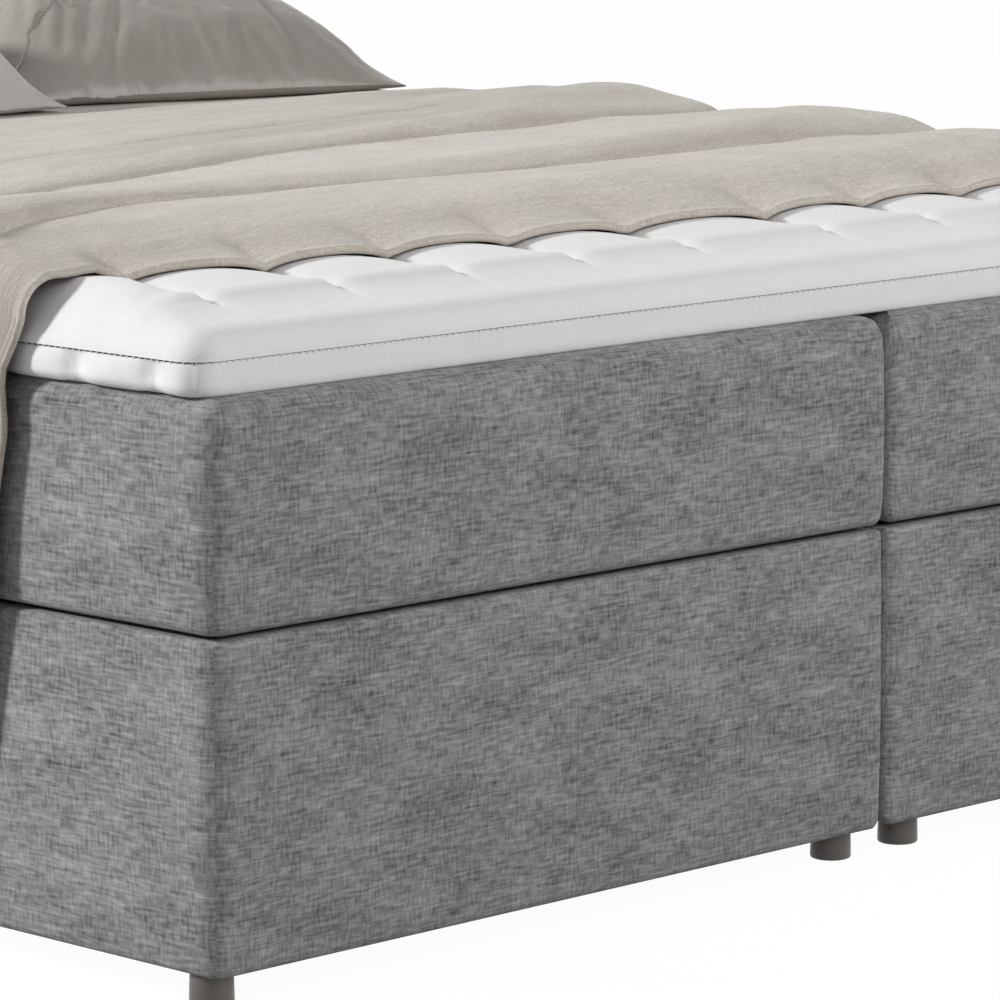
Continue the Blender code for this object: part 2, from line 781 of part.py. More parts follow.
def make_strut(half, side):
    """One gas strut: a tube that turns on the box and a rod that turns on the lid."""
    black = finish_material(f"strut_black_{half}_{side}", (0.020, 0.020, 0.022), 0.35)
    chrome = finish_material(f"strut_chrome_{half}_{side}", (0.700, 0.700, 0.710), 0.12, 1.0)
    foot, head = (strut_foot_y, strut_foot_z), (strut_head_y, strut_head_z)
    length = math.dist(foot, head)
    along = ((head[0] - foot[0]) / length, (head[1] - foot[1]) / length)
    back = (-along[0], -along[1])
    x = across_x(half, side, eye_inset + strut_eye_width / 2)
    bm = bmesh.new()
    profile = (
        (strut_tube_radius, strut_tube_start),
        (strut_tube_radius, strut_tube_end - strut_tube_chamfer),
        (strut_tube_radius - strut_tube_chamfer, strut_tube_end),
        (strut_tube_bore, strut_tube_end),
        (strut_tube_bore, strut_tube_floor),
    )
    add_turned(bm, (x, *foot), (0, *along), profile)
    tube = add_object(f"strut_tube_{half}_{side}", bm, black, math.radians(40))
    eye = make_strut_eye(f"tube_eye_{half}_{side}", half, side, foot, along, strut_foot_hole, black)
    combine(tube, eye, "UNION")
    bm = bmesh.new()
    profile = ((strut_rod_radius, strut_rod_start), (strut_rod_radius, strut_rod_length))
    add_turned(bm, (x, *head), (0, *back), profile)
    rod = add_object(f"strut_rod_{half}_{side}", bm, chrome, math.radians(40))
    eye = make_strut_eye(f"rod_eye_{half}_{side}", half, side, head, back, strut_head_hole, chrome)
    combine(rod, eye, "UNION")
    carry(f"strut_foot_axis_{half}_{side}", (x, *foot), [tube])
    carry(f"strut_head_axis_{half}_{side}", (x, *head), [rod])


def topper_sides():
    return (-bed_width / 2, bed_width / 2), (-topper_length / 2, topper_length / 2)


def make_topper_bottom_cover():
    """Lower half of the topper's cover: a shallow tray up to the seam."""
    bm = bmesh.new()
    sides, ends = topper_sides()
    seam = topper_bottom + topper_seam_rise
    edge_profile_shares = ((2.4, 0.0), (0.5, 0.22), (0.0, 0.6), (0.9, 1.0))
    rings = []
    for inset_share, rise_share in edge_profile_shares:
        inset = inset_share * topper_skin
        level = topper_bottom + rise_share * topper_seam_rise
        radius = topper_corner_radius - inset
        rings.append(box_ring(sides, ends, *same_sides(inset, level), radius))
    inner = topper_core_inset - touch_gap
    for level in (seam, topper_bottom + topper_skin):
        rings.append(box_ring(sides, ends, *same_sides(inner, level), topper_corner_radius - inner))
    add_loft(bm, rings)
    cloth = finish_material("topper_tray_cloth", (0.600, 0.610, 0.590), 0.80)
    add_object("topper_bottom_cover", bm, cloth, math.radians(50))


def make_topper_zip():
    """Zip band between the two halves of the topper's cover."""
    bm = bmesh.new()
    sides, ends = topper_sides()
    low = topper_bottom + topper_seam_rise + touch_gap
    high = low + topper_seam_height
    outer, inner = zip_inset, topper_core_inset - touch_gap
    rings = []
    for inset, level in ((outer, low), (outer, high), (inner, high), (inner, low)):
        rings.append(box_ring(sides, ends, *same_sides(inset, level), topper_corner_radius - inset))
    add_loft(bm, rings, closed=True)
    add_object("topper_zip", bm, finish_material("zip_grey", (0.200, 0.210, 0.200), 0.70))


def make_topper_core():
    """Foam block inside the topper."""
    bm = bmesh.new()
    sides, ends = topper_sides()
    radius = topper_corner_radius - topper_core_inset
    low, high = topper_bottom + topper_skin + touch_gap, topper_top - topper_quilt_thickness - touch_gap
    add_loft(bm, [box_ring(sides, ends, *same_sides(topper_core_inset, z), radius) for z in (low, high)])
    add_object("topper_core", bm, foam_material("topper_foam"))


def tuft_lines(low, high, first, pitch, wide_after=None):
    """Grid lines over the topper and how deep each is drawn in: 1 at a row of tufts, 0 between."""
    places = [low + first]

    def following():
        return places[-1] + pitch + (tuft_wide_extra if len(places) == wide_after else 0.0)

    while following() < high - 2 * topper_shoulder:
        places.append(following())
    lines = [(low, None), (low + topper_shoulder, 0.0), (places[0], 1.0)]
    for before, place in zip(places, places[1:]):
        lines += [((before + place) / 2, 0.0), (place, 1.0)]
    return lines + [(high - topper_shoulder, 0.0), (high, None)]


def make_topper_quilted_top():
    """Upper half of the topper's cover with its quilted wadding, drawn down at sewn tufts."""
    bm = bmesh.new()
    sides, ends = topper_sides()
    columns = tuft_lines(*sides, tuft_first_x, tuft_pitch_x, tuft_wide_after)
    rows = tuft_lines(*ends, tuft_first_y, tuft_pitch_y)
    seam = topper_bottom + topper_seam_rise + topper_seam_height + 2 * touch_gap
    rise = topper_top - seam
    edge_profile_shares = ((0.22, 0.66), (0.0, 0.30), (0.09, 0.0))

    def plan(x, y, inset):
        """Pull a point on the rim in by inset and round the corners."""
        radius = topper_corner_radius - min(inset, topper_corner_radius / 2)
        x0, x1, y0, y1 = sides[0] + inset, sides[1] - inset, ends[0] + inset, ends[1] - inset
        x, y = min(max(x, x0), x1), min(max(y, y0), y1)
        cx, cy = min(max(x, x0 + radius), x1 - radius), min(max(y, y0 + radius), y1 - radius)
        away = Vector((x - cx, y - cy))
        if away.length > radius:
            away = away.normalized() * radius
        return cx + away.x, cy + away.y

    grid = {}
    first_inset = edge_profile_shares[0][0] * topper_corner_radius
    for i, (x, draw_x) in enumerate(columns):
        for j, (y, draw_y) in enumerate(rows):
            if draw_x is None or draw_y is None:
                px, py = plan(x, y, first_inset)
                z = seam + edge_profile_shares[0][1] * rise
            else:
                px, py = x, y
                drop = tuft_depth if draw_x and draw_y else tuft_valley * (draw_x + draw_y)
                z = topper_top - drop
            grid[i, j] = bm.verts.new((px, py, z))
    last_i, last_j = len(columns) - 1, len(rows) - 1
    for i in range(last_i):
        for j in range(last_j):
            bm.faces.new((grid[i, j], grid[i + 1, j], grid[i + 1, j + 1], grid[i, j + 1]))
    walk = [(i, 0) for i in range(last_i)] + [(last_i, j) for j in range(last_j)]
    walk += [(i, last_j) for i in range(last_i, 0, -1)] + [(0, j) for j in range(last_j, 0, -1)]
    upper = [grid[step] for step in walk]
    for inset_share, rise_share in edge_profile_shares[1:]:
        lower = []
        for i, j in walk:
            px, py = plan(columns[i][0], rows[j][0], inset_share * topper_corner_radius)
            lower.append(bm.verts.new((px, py, seam + rise_share * rise)))
        for k, point in enumerate(upper):
            after = (k + 1) % len(upper)
            bm.faces.new((point, upper[after], lower[after], lower[k]))
        upper = lower
    inner = topper_core_inset - touch_gap
    cavity_top = topper_top - topper_quilt_thickness
    cavity = []
    for level in (seam, cavity_top):
        ring = box_ring(sides, ends, *same_sides(inner, level), topper_corner_radius - inner)
        cavity.append([bm.verts.new(point) for point in ring])
    for k in range(len(cavity[0])):
        after = (k + 1) % len(cavity[0])
        bm.faces.new((cavity[0][k], cavity[0][after], cavity[1][after], cavity[1][k]))
    bm.faces.new(cavity[1])
    rim = []
    for loop in (upper, cavity[0]):
        rim += [bm.edges.get((p, loop[(k + 1) % len(loop)])) for k, p in enumerate(loop)]
    bmesh.ops.triangle_fill(bm, use_beauty=True, edges=rim)
    cloth = finish_material("topper_cloth", (0.740, 0.740, 0.735), 0.60)
    add_object("topper_quilted_top", bm, cloth, math.radians(60))


def spread_path():
    """Outside line across the bed: (x, z, outward x, outward z, hang share) points."""
    side = bed_width / 2 + spread_side_gap + spread_thickness
    radius = spread_corner_radius + spread_thickness
    level = spread_bottom + spread_thickness
    shoulder = level - radius
    right = []
    for i in range(spread_hang_steps):
        share = 1 - i / spread_hang_steps
        right.append((side, shoulder - (shoulder - spread_hem_height) * share, 1.0, 0.0, share))
    for i in range(spread_bend_steps):
        turn = math.pi / 2 * i / spread_bend_steps
        right.append((
            side - radius + radius * math.cos(turn), shoulder + radius * math.sin(turn),
            math.cos(turn), math.sin(turn), 0.0,
        ))
    flat_end = side - radius
    top = []
    for i in range(spread_top_steps + 1):
        top.append((flat_end - 2 * flat_end * i / spread_top_steps, level, 0.0, 1.0, 0.0))
    left = [(-x, z, -out_x, out_z, hang) for x, z, out_x, out_z, hang in reversed(right)]
    return right + top + left


def at_station(values, x):
    """A value of a table across the bed, straight between its stations."""
    place = min(max(x / (bed_width / 2), station_shares[0]), station_shares[-1])
    for k in range(1, len(station_shares)):
        if place <= station_shares[k]:
            break
    share = (place - station_shares[k - 1]) / (station_shares[k] - station_shares[k - 1])
    return values[k - 1] + (values[k] - values[k - 1]) * share


def ease(value, low, high):
    """0 up to low and 1 from high on, with a smooth step between them."""
    share = min(1.0, max(0.0, (value - low) / (high - low)))
    return share * share * (3 - 2 * share)


def hang_keep(hang):
    """What share of a roll is left where the cloth hangs."""
    return 1 - (1 - spread_hang_keep_share) * hang


def spread_lift(x, y, front, feet, hang):
    """How far the cloth stands off its bed: the rolled edge, the rolls behind it and the hanging folds."""
    behind = y - front
    lift = 2 * spread_nose_radius * (1 - ease(behind, 0, spread_nose_fade))
    rise = ease(behind, 0, spread_front_reach) * (1 - ease(behind, spread_front_hold, spread_front_end))
    lift += spread_front_rise * rise
    for foot, heights in zip(feet, roll_heights):
        past = y - foot
        roll = ease(past, 0, spread_roll_front) * (1 - ease(past, spread_roll_front, spread_roll_end))
        lift += at_station(heights, x) * roll
    lift *= 1 - ease(y, spread_flat_from, spread_flat_at)
    fold = math.sin(2 * math.pi * y / spread_hang_fold_pitch)
    lift *= hang_keep(hang)
    return lift + hang * (spread_hang_stand + spread_hang_fold * fold)


def spread_section(x, hang):
    """Outside line along the bed at one place across it: (y, lift) points from the tucked edge."""
    half_length = bed_length / 2
    front = at_station(front_shares, x) * half_length + spread_hem_back * hang
    feet = [at_station(shares, x) * half_length for shares in roll_foot_shares]
    radius = spread_nose_radius * hang_keep(hang)
    behind = front + radius
    top = spread_lift(x, behind, front, feet, hang)
    points = []
    for turn in (-math.pi / 2, -math.pi / 6, math.pi / 6):
        points.append((behind - radius * math.cos(turn), top - radius + radius * math.sin(turn)))
    stops = [behind + (feet[0] - behind) * share for share in spread_front_row_shares]
    for foot in feet:
        if foot > feet[0]:
            stops.append((stops[-1] + foot) / 2)
        stops += [foot, foot + spread_roll_front / 2, foot + spread_roll_front]
    stops += [(stops[-1] + spread_flat_at) / 2, spread_flat_at]
    stops += [(spread_flat_at + spread_back) / 2, spread_back]
    return points + [(y, spread_lift(x, y, front, feet, hang)) for y in stops]


def inner_line(section):
    """The line one cloth thickness inside a section."""
    line = []
    for k, (y, lift) in enumerate(section):
        before, after = section[max(k - 1, 0)], section[min(k + 1, len(section) - 1)]
        along = Vector((after[0] - before[0], after[1] - before[1])).normalized()
        line.append((y + along.y * spread_thickness, lift - along.x * spread_thickness))
    return line


def make_bedspread():
    """Thick woven bedspread: one sheet with its rolls, its front edge rolled under."""
    bm = bmesh.new()
    outer, inner = [], []
    for x, z, out_x, out_z, hang in spread_path():
        section = spread_section(x, hang)
        for sheet, line in ((outer, section), (inner, inner_line(section))):
            sheet.append([bm.verts.new((x + out_x * lift, y, z + out_z * lift)) for y, lift in line])
    for sheet in (outer, inner):
        for a, b in zip(sheet, sheet[1:]):
            for j in range(len(a) - 1):
                bm.faces.new((a[j], a[j + 1], b[j + 1], b[j]))
    rims = [(outer[0], inner[0]), (outer[-1], inner[-1])]
    for end in (0, -1):
        rims.append(([row[end] for row in outer], [row[end] for row in inner]))
    for edge_out, edge_in in rims:
        for k in range(len(edge_out) - 1):
            bm.faces.new((edge_out[k], edge_out[k + 1], edge_in[k + 1], edge_in[k]))
    linen = finish_material("spread_linen", (0.470, 0.420, 0.370), 0.95)
    add_object("bedspread", bm, linen, math.radians(60))


def half_bed_shares(shares):
    """Shares of the bed's half width and half length as lengths."""
    return shares[0] * bed_width / 2, shares[1] * bed_length / 2


def make_pillow(name, middle, half_size, turn, material):
    """A crowned pillow whose sides draw in between its corners, flat where it lies."""
    bm = bmesh.new()
    steps_u, steps_v = pillow_steps
    top, bottom = {}, {}
    seam = pillow_belly
    for i in range(steps_u + 1):
        for j in range(steps_v + 1):
            u = math.sin(math.pi / 2 * (2 * i / steps_u - 1))
            v = math.sin(math.pi / 2 * (2 * j / steps_v - 1))
            x = half_size[0] * u * (1 - pillow_drawn_share * (1 - v * v))
            y = half_size[1] * v * (1 - pillow_drawn_share * (1 - u * u))
            puff = ((1 - u * u) * (1 - v * v)) ** 0.5
            on_rim = i in (0, steps_u) or j in (0, steps_v)
            top[i, j] = bm.verts.new((x, y, seam + (pillow_height - seam) * puff))
            if on_rim:
                bottom[i, j] = top[i, j]
            else:
                bottom[i, j] = bm.verts.new((x, y, seam * max(0.0, 1 - puff / pillow_flat_share)))
    for i in range(steps_u):
        for j in range(steps_v):
            for sheet in (top, bottom):
                bm.faces.new((sheet[i, j], sheet[i + 1, j], sheet[i + 1, j + 1], sheet[i, j + 1]))
    pillow = add_object(name, bm, material, math.radians(60))
    pillow.location = (*middle, pillow_rest)
    pillow.rotation_euler = (0.0, 0.0, turn)


def build_bed():
    clear_scene()
    make_feet()
    make_box_connectors()
    for half in half_sides:
        make_base_frame(half)
        make_bottom_board(half)
        make_base_padding(half)
        make_base_cover(half)
        lid = [make_lid_frame(half), make_slat_deck(half), make_underboard(half), make_edge_foam(half)]
        lid += [make_spring_core(half), *make_lid_layers(half), make_lid_cover(half)]
        for side in ("outer", "split"):
            make_lift_plate(half, side)
            lid.append(make_lift_arm(half, side))
            make_strut(half, side)
        carry(f"lid_axle_{half}", (0.0, pivot_y, pivot_z), lid)
    make_topper_bottom_cover()
    make_topper_core()
    make_topper_zip()
    make_topper_quilted_top()
    make_bedspread()
    satin = {
        "pillow_right": (0.330, 0.290, 0.260),
        "pillow_middle": (0.520, 0.480, 0.490),
        "pillow_left": (0.330, 0.290, 0.260),
    }
    for name, (middle_shares, size_shares, turn) in pillow_shares.items():
        middle, half_size = half_bed_shares(middle_shares), half_bed_shares(size_shares)
        make_pillow(name, middle, half_size, turn, finish_material(f"{name}_satin", satin[name], 0.40))


build_bed()
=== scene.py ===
# %% [markdown]
# A box spring bed, 180 x 200 cm. Two storage boxes on glides carry two sprung lids, one quilted topper lies
# across both, and a linen bedspread and three satin pillows lie on top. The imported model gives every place
# and size; this file gives the bed its cloth, wood and metal. All lengths are metres, +Z is up, the foot
# end is at -Y.

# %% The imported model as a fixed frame
import math

import bmesh
import bpy
import numpy as np
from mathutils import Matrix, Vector


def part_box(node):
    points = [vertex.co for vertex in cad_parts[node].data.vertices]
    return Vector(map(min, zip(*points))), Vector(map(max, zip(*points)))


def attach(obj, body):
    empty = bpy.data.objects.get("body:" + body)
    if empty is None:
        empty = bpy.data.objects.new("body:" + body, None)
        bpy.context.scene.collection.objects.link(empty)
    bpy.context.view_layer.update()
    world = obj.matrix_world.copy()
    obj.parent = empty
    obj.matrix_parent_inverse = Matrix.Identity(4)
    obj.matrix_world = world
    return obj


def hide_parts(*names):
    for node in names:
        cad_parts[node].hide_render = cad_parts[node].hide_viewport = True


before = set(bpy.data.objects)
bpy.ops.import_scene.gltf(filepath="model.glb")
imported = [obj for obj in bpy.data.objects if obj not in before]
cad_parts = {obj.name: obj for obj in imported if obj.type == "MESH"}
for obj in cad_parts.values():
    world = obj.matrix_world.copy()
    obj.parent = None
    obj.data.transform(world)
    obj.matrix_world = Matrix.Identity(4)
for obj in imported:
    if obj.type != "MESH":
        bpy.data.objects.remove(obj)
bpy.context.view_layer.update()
halves = ("left", "right")

# %% [markdown]
# The photograph was taken with a long lens from in front of the bed's near corner, a little above the lying
# surface. A camera is placed by the way it looks, its distance and the point it looks at, which keeps its
# numbers few and easy to change.

# %% Camera
view_azimuth = math.radians(-45.4773)
view_height = math.radians(8.736)
view_distance = 5.7396
view_target = Vector((0.0170, -0.4481, 0.3000))
lens_length = 194.49

camera_data = bpy.data.cameras.new("camera")
camera_data.lens = lens_length
camera = bpy.data.objects.new("camera", camera_data)
level = math.cos(view_height)
backwards = Vector((math.sin(view_azimuth) * level, -math.cos(view_azimuth) * level, math.sin(view_height)))
camera.location = view_target + backwards * view_distance
camera.rotation_euler = (-backwards).to_track_quat("-Z", "Y").to_euler()
bpy.context.scene.collection.objects.link(camera)
bpy.context.scene.camera = camera
bpy.context.scene.view_settings.view_transform = "Standard"
print("camera at", [round(v, 3) for v in camera.location])

# %% [markdown]
# Shader maths reads best as plain expressions. `Wire` wraps a socket, and Python's operators on it add Math
# nodes, so `1 - mask * 0.5` builds two nodes. Each node and link could have a line of its own instead, but
# then the formula of a cloth can't be read any more.


# %% Wires
def plug(tree, socket, value):
    """Link a wire into a socket, or set the socket's own value."""
    if isinstance(value, Wire):
        tree.links.new(value.socket, socket)
    else:
        socket.default_value = value


class Wire:
    """A value in a node tree."""

    def __init__(self, tree, socket):
        self.tree, self.socket = tree, socket

    def math(self, operation, *values):
        """A Math node on the values."""
        node = self.tree.nodes.new("ShaderNodeMath")
        node.operation = operation
        for socket, value in zip(node.inputs, values):
            plug(self.tree, socket, value)
        return Wire(self.tree, node.outputs[0])

    def __add__(self, other):
        return self.math("ADD", self, other)

    def __sub__(self, other):
        return self.math("SUBTRACT", self, other)

    def __rsub__(self, other):
        return self.math("SUBTRACT", other, self)

    def __mul__(self, other):
        return self.math("MULTIPLY", self, other)

    def __truediv__(self, other):
        return self.math("DIVIDE", self, other)

    __radd__, __rmul__ = __add__, __mul__

    def sine(self):
        return self.math("SINE", self)

    def clamp(self):
        return self.math("MAXIMUM", self.math("MINIMUM", self, 1.0), 0.0)

    def rise(self, low, high):
        """0 below low and 1 above high, straight between them."""
        return ((self - low) / (high - low)).clamp()


# %% [markdown]
# Each cloth, wood or metal of the bed is one material with a Principled shader. `Finish` keeps what they
# share: the place of a pattern, noise that is stretched along a thread or a grain, a colour between two
# others and a bump. One method adds any other node from its type, its settings and its values or links.


# %% Finishes
class Finish:
    """One material, named for what it is on the bed."""

    def __init__(self, name, **sockets):
        self.material = bpy.data.materials.new(name)
        self.material.use_nodes = True
        self.tree = self.material.node_tree
        self.shader = self.tree.nodes["Principled BSDF"]
        for socket, value in sockets.items():
            self.shader.inputs[socket.replace("_", " ")].default_value = value

    def node(self, kind, settings=None, inputs=None, output=0):
        """Any shader node: settings first, then values or links; the wire is one of its outputs."""
        node = self.tree.nodes.new("ShaderNode" + kind)
        for name, value in (settings or {}).items():
            setattr(node, name, value)
        for name, value in (inputs or {}).items():
            plug(self.tree, node.inputs[name], value)
        return Wire(self.tree, node.outputs[output])

    def place(self, uv_map=None):
        """Object coordinates, or a piece's own cloth lengths."""
        if uv_map:
            return self.node("UVMap", {"uv_map": uv_map})
        return self.node("TexCoord", output="Object")

    def scaled(self, place, *scale):
        """The place stretched along each axis."""
        return self.node("VectorMath", {"operation": "MULTIPLY"}, {0: place, 1: scale})

    def parts(self, place):
        """X, Y and Z of a place, as three wires."""
        return [self.node("SeparateXYZ", None, {0: place}, output) for output in range(3)]

    def noise(self, place, scale=(1, 1, 1), detail=2.0, roughness=0.5):
        stretched = self.scaled(place, *scale)
        inputs = {"Vector": stretched, "Scale": 1.0, "Detail": detail, "Roughness": roughness}
        return self.node("TexNoise", None, inputs)

    def between(self, factor, low, high):
        """A colour between two others, the low one of which may be a wire."""
        first, second, result = 6, 7, 2
        inputs = {0: factor, first: low if isinstance(low, Wire) else (*low, 1), second: (*high, 1)}
        return self.node("Mix", {"data_type": "RGBA"}, inputs, result)

    def set(self, **sockets):
        """Give sockets of the shader what varies over the surface."""
        for socket, value in sockets.items():
            plug(self.tree, self.shader.inputs[socket.replace("_", " ")], value)
        return self.material

    def bump(self, height, distance, strength):
        """Relief: a height of 1 stands out by the distance."""
        inputs = {"Height": height, "Distance": distance, "Strength": strength}
        plug(self.tree, self.shader.inputs["Normal"], self.node("Bump", None, inputs))


# %% [markdown]
# The boxes are covered in a grey melange weave: light and dark fibres spun together, woven in a small
# basket pattern, with thick places in the yarn that run a few centimetres along a thread. An image would
# repeat; here stretched noise along the warp and the weft makes each thread different. The pattern follows
# cloth lengths that each piece carries as a UV map, so it turns round the corners as real cloth does.


# %% Grey melange weave
warp_twist = 1.6


def thread_tone(finish, cloth, along, across, seed):
    """Strokes along the weft and along the warp, whose yarn is twisted harder and so has shorter ones."""
    weft = finish.noise(cloth, (along, across, seed), detail=1.0)
    warp = finish.noise(cloth, (across, along * warp_twist, seed), detail=1.0)
    return weft, warp


def woven(name, dark, light, pitch, **sockets):
    """A plain weave: warp and weft take turns on top, and each thread has its own light and dark places."""
    finish = Finish(name, **sockets)
    cloth = finish.place("cloth")
    u, v, _ = finish.parts(cloth)
    turn = 2 * math.pi / pitch
    basket = (u * turn).sine() * (v * turn).sine()
    weft_on_top = (basket * 0.9 + 0.62).clamp()
    fibre_run, fibre_width = 0.12 / pitch, 0.80 / pitch
    slub_run, slub_width = 0.045 / pitch, 0.62 / pitch
    weft, warp = thread_tone(finish, cloth, fibre_run, fibre_width, 3.0)
    slub_weft, slub_warp = thread_tone(finish, cloth, slub_run, slub_width, 11.0)
    slubs = slub_weft.rise(0.54, 0.70) + slub_warp.rise(0.60, 0.76) * 0.6
    dips = slub_weft.rise(0.44, 0.30)
    patches = finish.noise(cloth, (9.0, 24.0, 5.0), detail=4.0, roughness=0.6)
    yarn = weft * weft_on_top + warp * (1 - weft_on_top)
    threads = weft + warp - 1.0
    melange = (yarn - 0.5) + threads * 0.50 + (patches - 0.5) * 0.90
    tone = 0.49 + melange + slubs * 0.13 - dips * 0.08
    finish.bump(threads * 0.9 + basket * 0.40 + slubs * 0.3, pitch * 0.24, 0.7)
    return finish.set(Base_Color=finish.between(tone.clamp(), dark, light))


dark_grey, light_grey, thread_pitch = (0.077, 0.077, 0.077), (0.405, 0.405, 0.405), 0.0026
grey_weave = woven("grey_melange_weave", dark_grey, light_grey, thread_pitch,
                   Roughness=0.90, Sheen_Weight=0.10, Sheen_Roughness=0.5, Specular_IOR_Level=0.25)
print("finish", grey_weave.name, len(grey_weave.node_tree.nodes), "nodes")

# %% [markdown]
# Every upholstered box, foam slab and topper is the same kind of shape: a rounded rectangle seen from
# above, with a profile down its sides. A bevelled cube would do for the boxes, but not for a top edge that
# grows softer towards the split. So one helper lays a grid over the rounded rectangle and finds its rim
# with outward directions, and the next cells hang a profile on that rim.


# %% Plans with round corners
def corner_centres(x, y, xs, ys, radii):
    """The point that each place is rounded about; the low and the high x side have their own radius."""
    radius = np.where(x < (xs[0] + xs[-1]) / 2, radii[0], radii[1])
    return np.clip(x, xs[0] + radius, xs[-1] - radius), np.clip(y, ys[0] + radius, ys[-1] - radius)


def lay_grid(xs, ys, radii):
    """A grid whose outline is a rectangle with round corners, and each point's distance to that outline."""
    x, y = np.meshgrid(xs, ys, indexing="ij")
    edge = np.minimum(np.minimum(x - xs[0], xs[-1] - x), np.minimum(y - ys[0], ys[-1] - y))
    cx, cy = corner_centres(x, y, xs, ys, radii)
    a, b = x - cx, y - cy
    far, diagonal = np.maximum(abs(a), abs(b)), np.hypot(a, b)
    scale = np.divide(far, diagonal, out=np.ones_like(far), where=diagonal > 0)
    return cx + a * scale, cy + b * scale, edge


def rim_of(grid):
    """The outline of a grid, anticlockwise from its low corner and closed."""
    return np.concatenate([grid[:-1, 0], grid[-1, :-1], grid[:0:-1, -1], grid[0, :0:-1], grid[:1, 0]])


def rim_out(xs, ys, radii):
    """Points on the rim, their outward directions and the length run along the rim."""
    x, y, _ = lay_grid(xs, ys, radii)
    px, py = rim_of(x), rim_of(y)
    cx, cy = corner_centres(px, py, xs, ys, radii)
    ax, ay = px - cx, py - cy
    size = np.hypot(ax, ay)
    run = np.concatenate([[0.0], np.cumsum(np.hypot(np.diff(px), np.diff(py)))])
    return np.stack([px, py], 1), np.stack([ax / size, ay / size], 1), run


# %% [markdown]
# A profile is a list of (inset, height) pairs. Each pair makes one ring round the rim, and where the inset
# or the height is an array, the ring follows it, which is how a seam can swell, pinch or roll in. Each
# patch carries cloth lengths for its weave: the way run along the rim and the way run down the profile.


# %% Rings and flat patches
def drawn_in(rim, inset):
    """A rim moved inwards; past its round corners it ends in square ones."""
    points, out, _ = rim
    inset = np.broadcast_to(inset, len(points))[:, None]
    return np.clip(points - out * inset, points.min(0) + inset, points.max(0) - inset)


def ring_patch(rim, profile, start=0.0):
    """Rings at (inset, height) pairs round a rim; an inset or a height may be an array along the rim."""
    run = rim[2]
    rings, lengths, down, before = [], [], start, None
    for inset, height in profile:
        inset, height = np.broadcast_to(inset, len(run)), np.broadcast_to(height, len(run))
        if before is not None:
            down += float(np.hypot(inset - before[0], height - before[1]).mean())
        before = (inset, height)
        ring = np.column_stack([drawn_in(rim, inset), height])
        ring[-1] = ring[0]
        rings.append(ring)
        lengths.append(np.column_stack([run, np.full(len(run), down)]))
    return np.array(rings), np.array(lengths)


def top_patch(x, y, z):
    """A grid seen from above, whose cloth lengths are its own plan."""
    return np.stack([x, y, np.broadcast_to(z, x.shape)], 2), np.stack([x, y], 2)


# %% [markdown]
# A piece is sewn or glued from several patches, and in the mesh they are welded where their points meet.
# Welding before the normals are worked out matters: only a closed body has an inside, and its volume tells
# at once whether the faces point out.


# %% One mesh from patches
weld_distance, shortest_edge = 0.00002, 0.00001


def make_piece(name, patches, finish, smooth_angle=math.radians(50)):
    """One smooth mesh from patches of points and cloth lengths, welded where they meet."""
    points, faces, lengths, count = [], [], [], 0
    for place, cloth in patches:
        rows, columns = place.shape[:2]
        index = count + np.arange(rows * columns).reshape(rows, columns)
        quad = np.stack([index[:-1, :-1], index[1:, :-1], index[1:, 1:], index[:-1, 1:]], 2).reshape(-1, 4)
        flat = cloth.reshape(-1, 2)
        points.append(place.reshape(-1, 3))
        faces.append(quad)
        lengths.append(flat[quad - count].reshape(-1, 2))
        count += rows * columns
    mesh = bpy.data.meshes.new(name)
    mesh.from_pydata(np.concatenate(points).tolist(), [], np.concatenate(faces).tolist())
    layer = mesh.uv_layers.new(name="cloth")
    layer.data.foreach_set("uv", np.concatenate(lengths).astype(np.float32).ravel())
    bm = bmesh.new()
    bm.from_mesh(mesh)
    bmesh.ops.remove_doubles(bm, verts=bm.verts[:], dist=weld_distance)
    bmesh.ops.dissolve_degenerate(bm, edges=bm.edges[:], dist=shortest_edge)
    bmesh.ops.recalc_face_normals(bm, faces=bm.faces[:])
    if bm.calc_volume(signed=True) < 0:
        bmesh.ops.reverse_faces(bm, faces=bm.faces[:])
    bm.to_mesh(mesh)
    bm.free()
    mesh.shade_smooth()
    mesh.set_sharp_from_angle(angle=smooth_angle)
    mesh.materials.append(finish)
    obj = bpy.data.objects.new(name, mesh)
    bpy.context.scene.collection.objects.link(obj)
    return obj


# %% Grid lines and roundings
edge_lines = np.array([0.0, 0.004, 0.009, 0.015, 0.022, 0.032, 0.046])


def spaced(low, high, step):
    """Grid lines from low to high, close together near both ends."""
    inner_low, inner_high = low + edge_lines[-1], high - edge_lines[-1]
    count = max(1, round((inner_high - inner_low) / step))
    middle = inner_low + (inner_high - inner_low) * np.arange(1, count) / count
    return np.concatenate([low + edge_lines, middle, high - edge_lines[::-1]])


def arc(start, stop, steps):
    """Angles of a rounding, in radians."""
    return np.radians(np.linspace(start, stop, steps + 1))


def quarter(centre, radius, start, stop, steps):
    """(inset, height) points of a rounding about a centre; angles from outward, upward positive."""
    inset, height = centre
    return [(inset - radius * math.cos(t), height + radius * math.sin(t)) for t in arc(start, stop, steps)]


# %% [markdown]
# A storage box's cover is a sleeve pulled over thin foam: it turns under the bottom, has a soft bottom edge
# and a tighter top edge, and turns in over the panel tops where it is stapled. The foam makes each face
# swell a little. A cloth simulation would give the same face after minutes of waiting, so a slow wave does
# it, and both walls of the sleeve are one closed loop of rings.

# %% Plan and swell of one half
upright_radii = {"left": (0.022, 0.009), "right": (0.016, 0.022)}
face_swell, waviness = 0.0016, 0.0007
plan_step, coarse_step = 0.04, 0.09


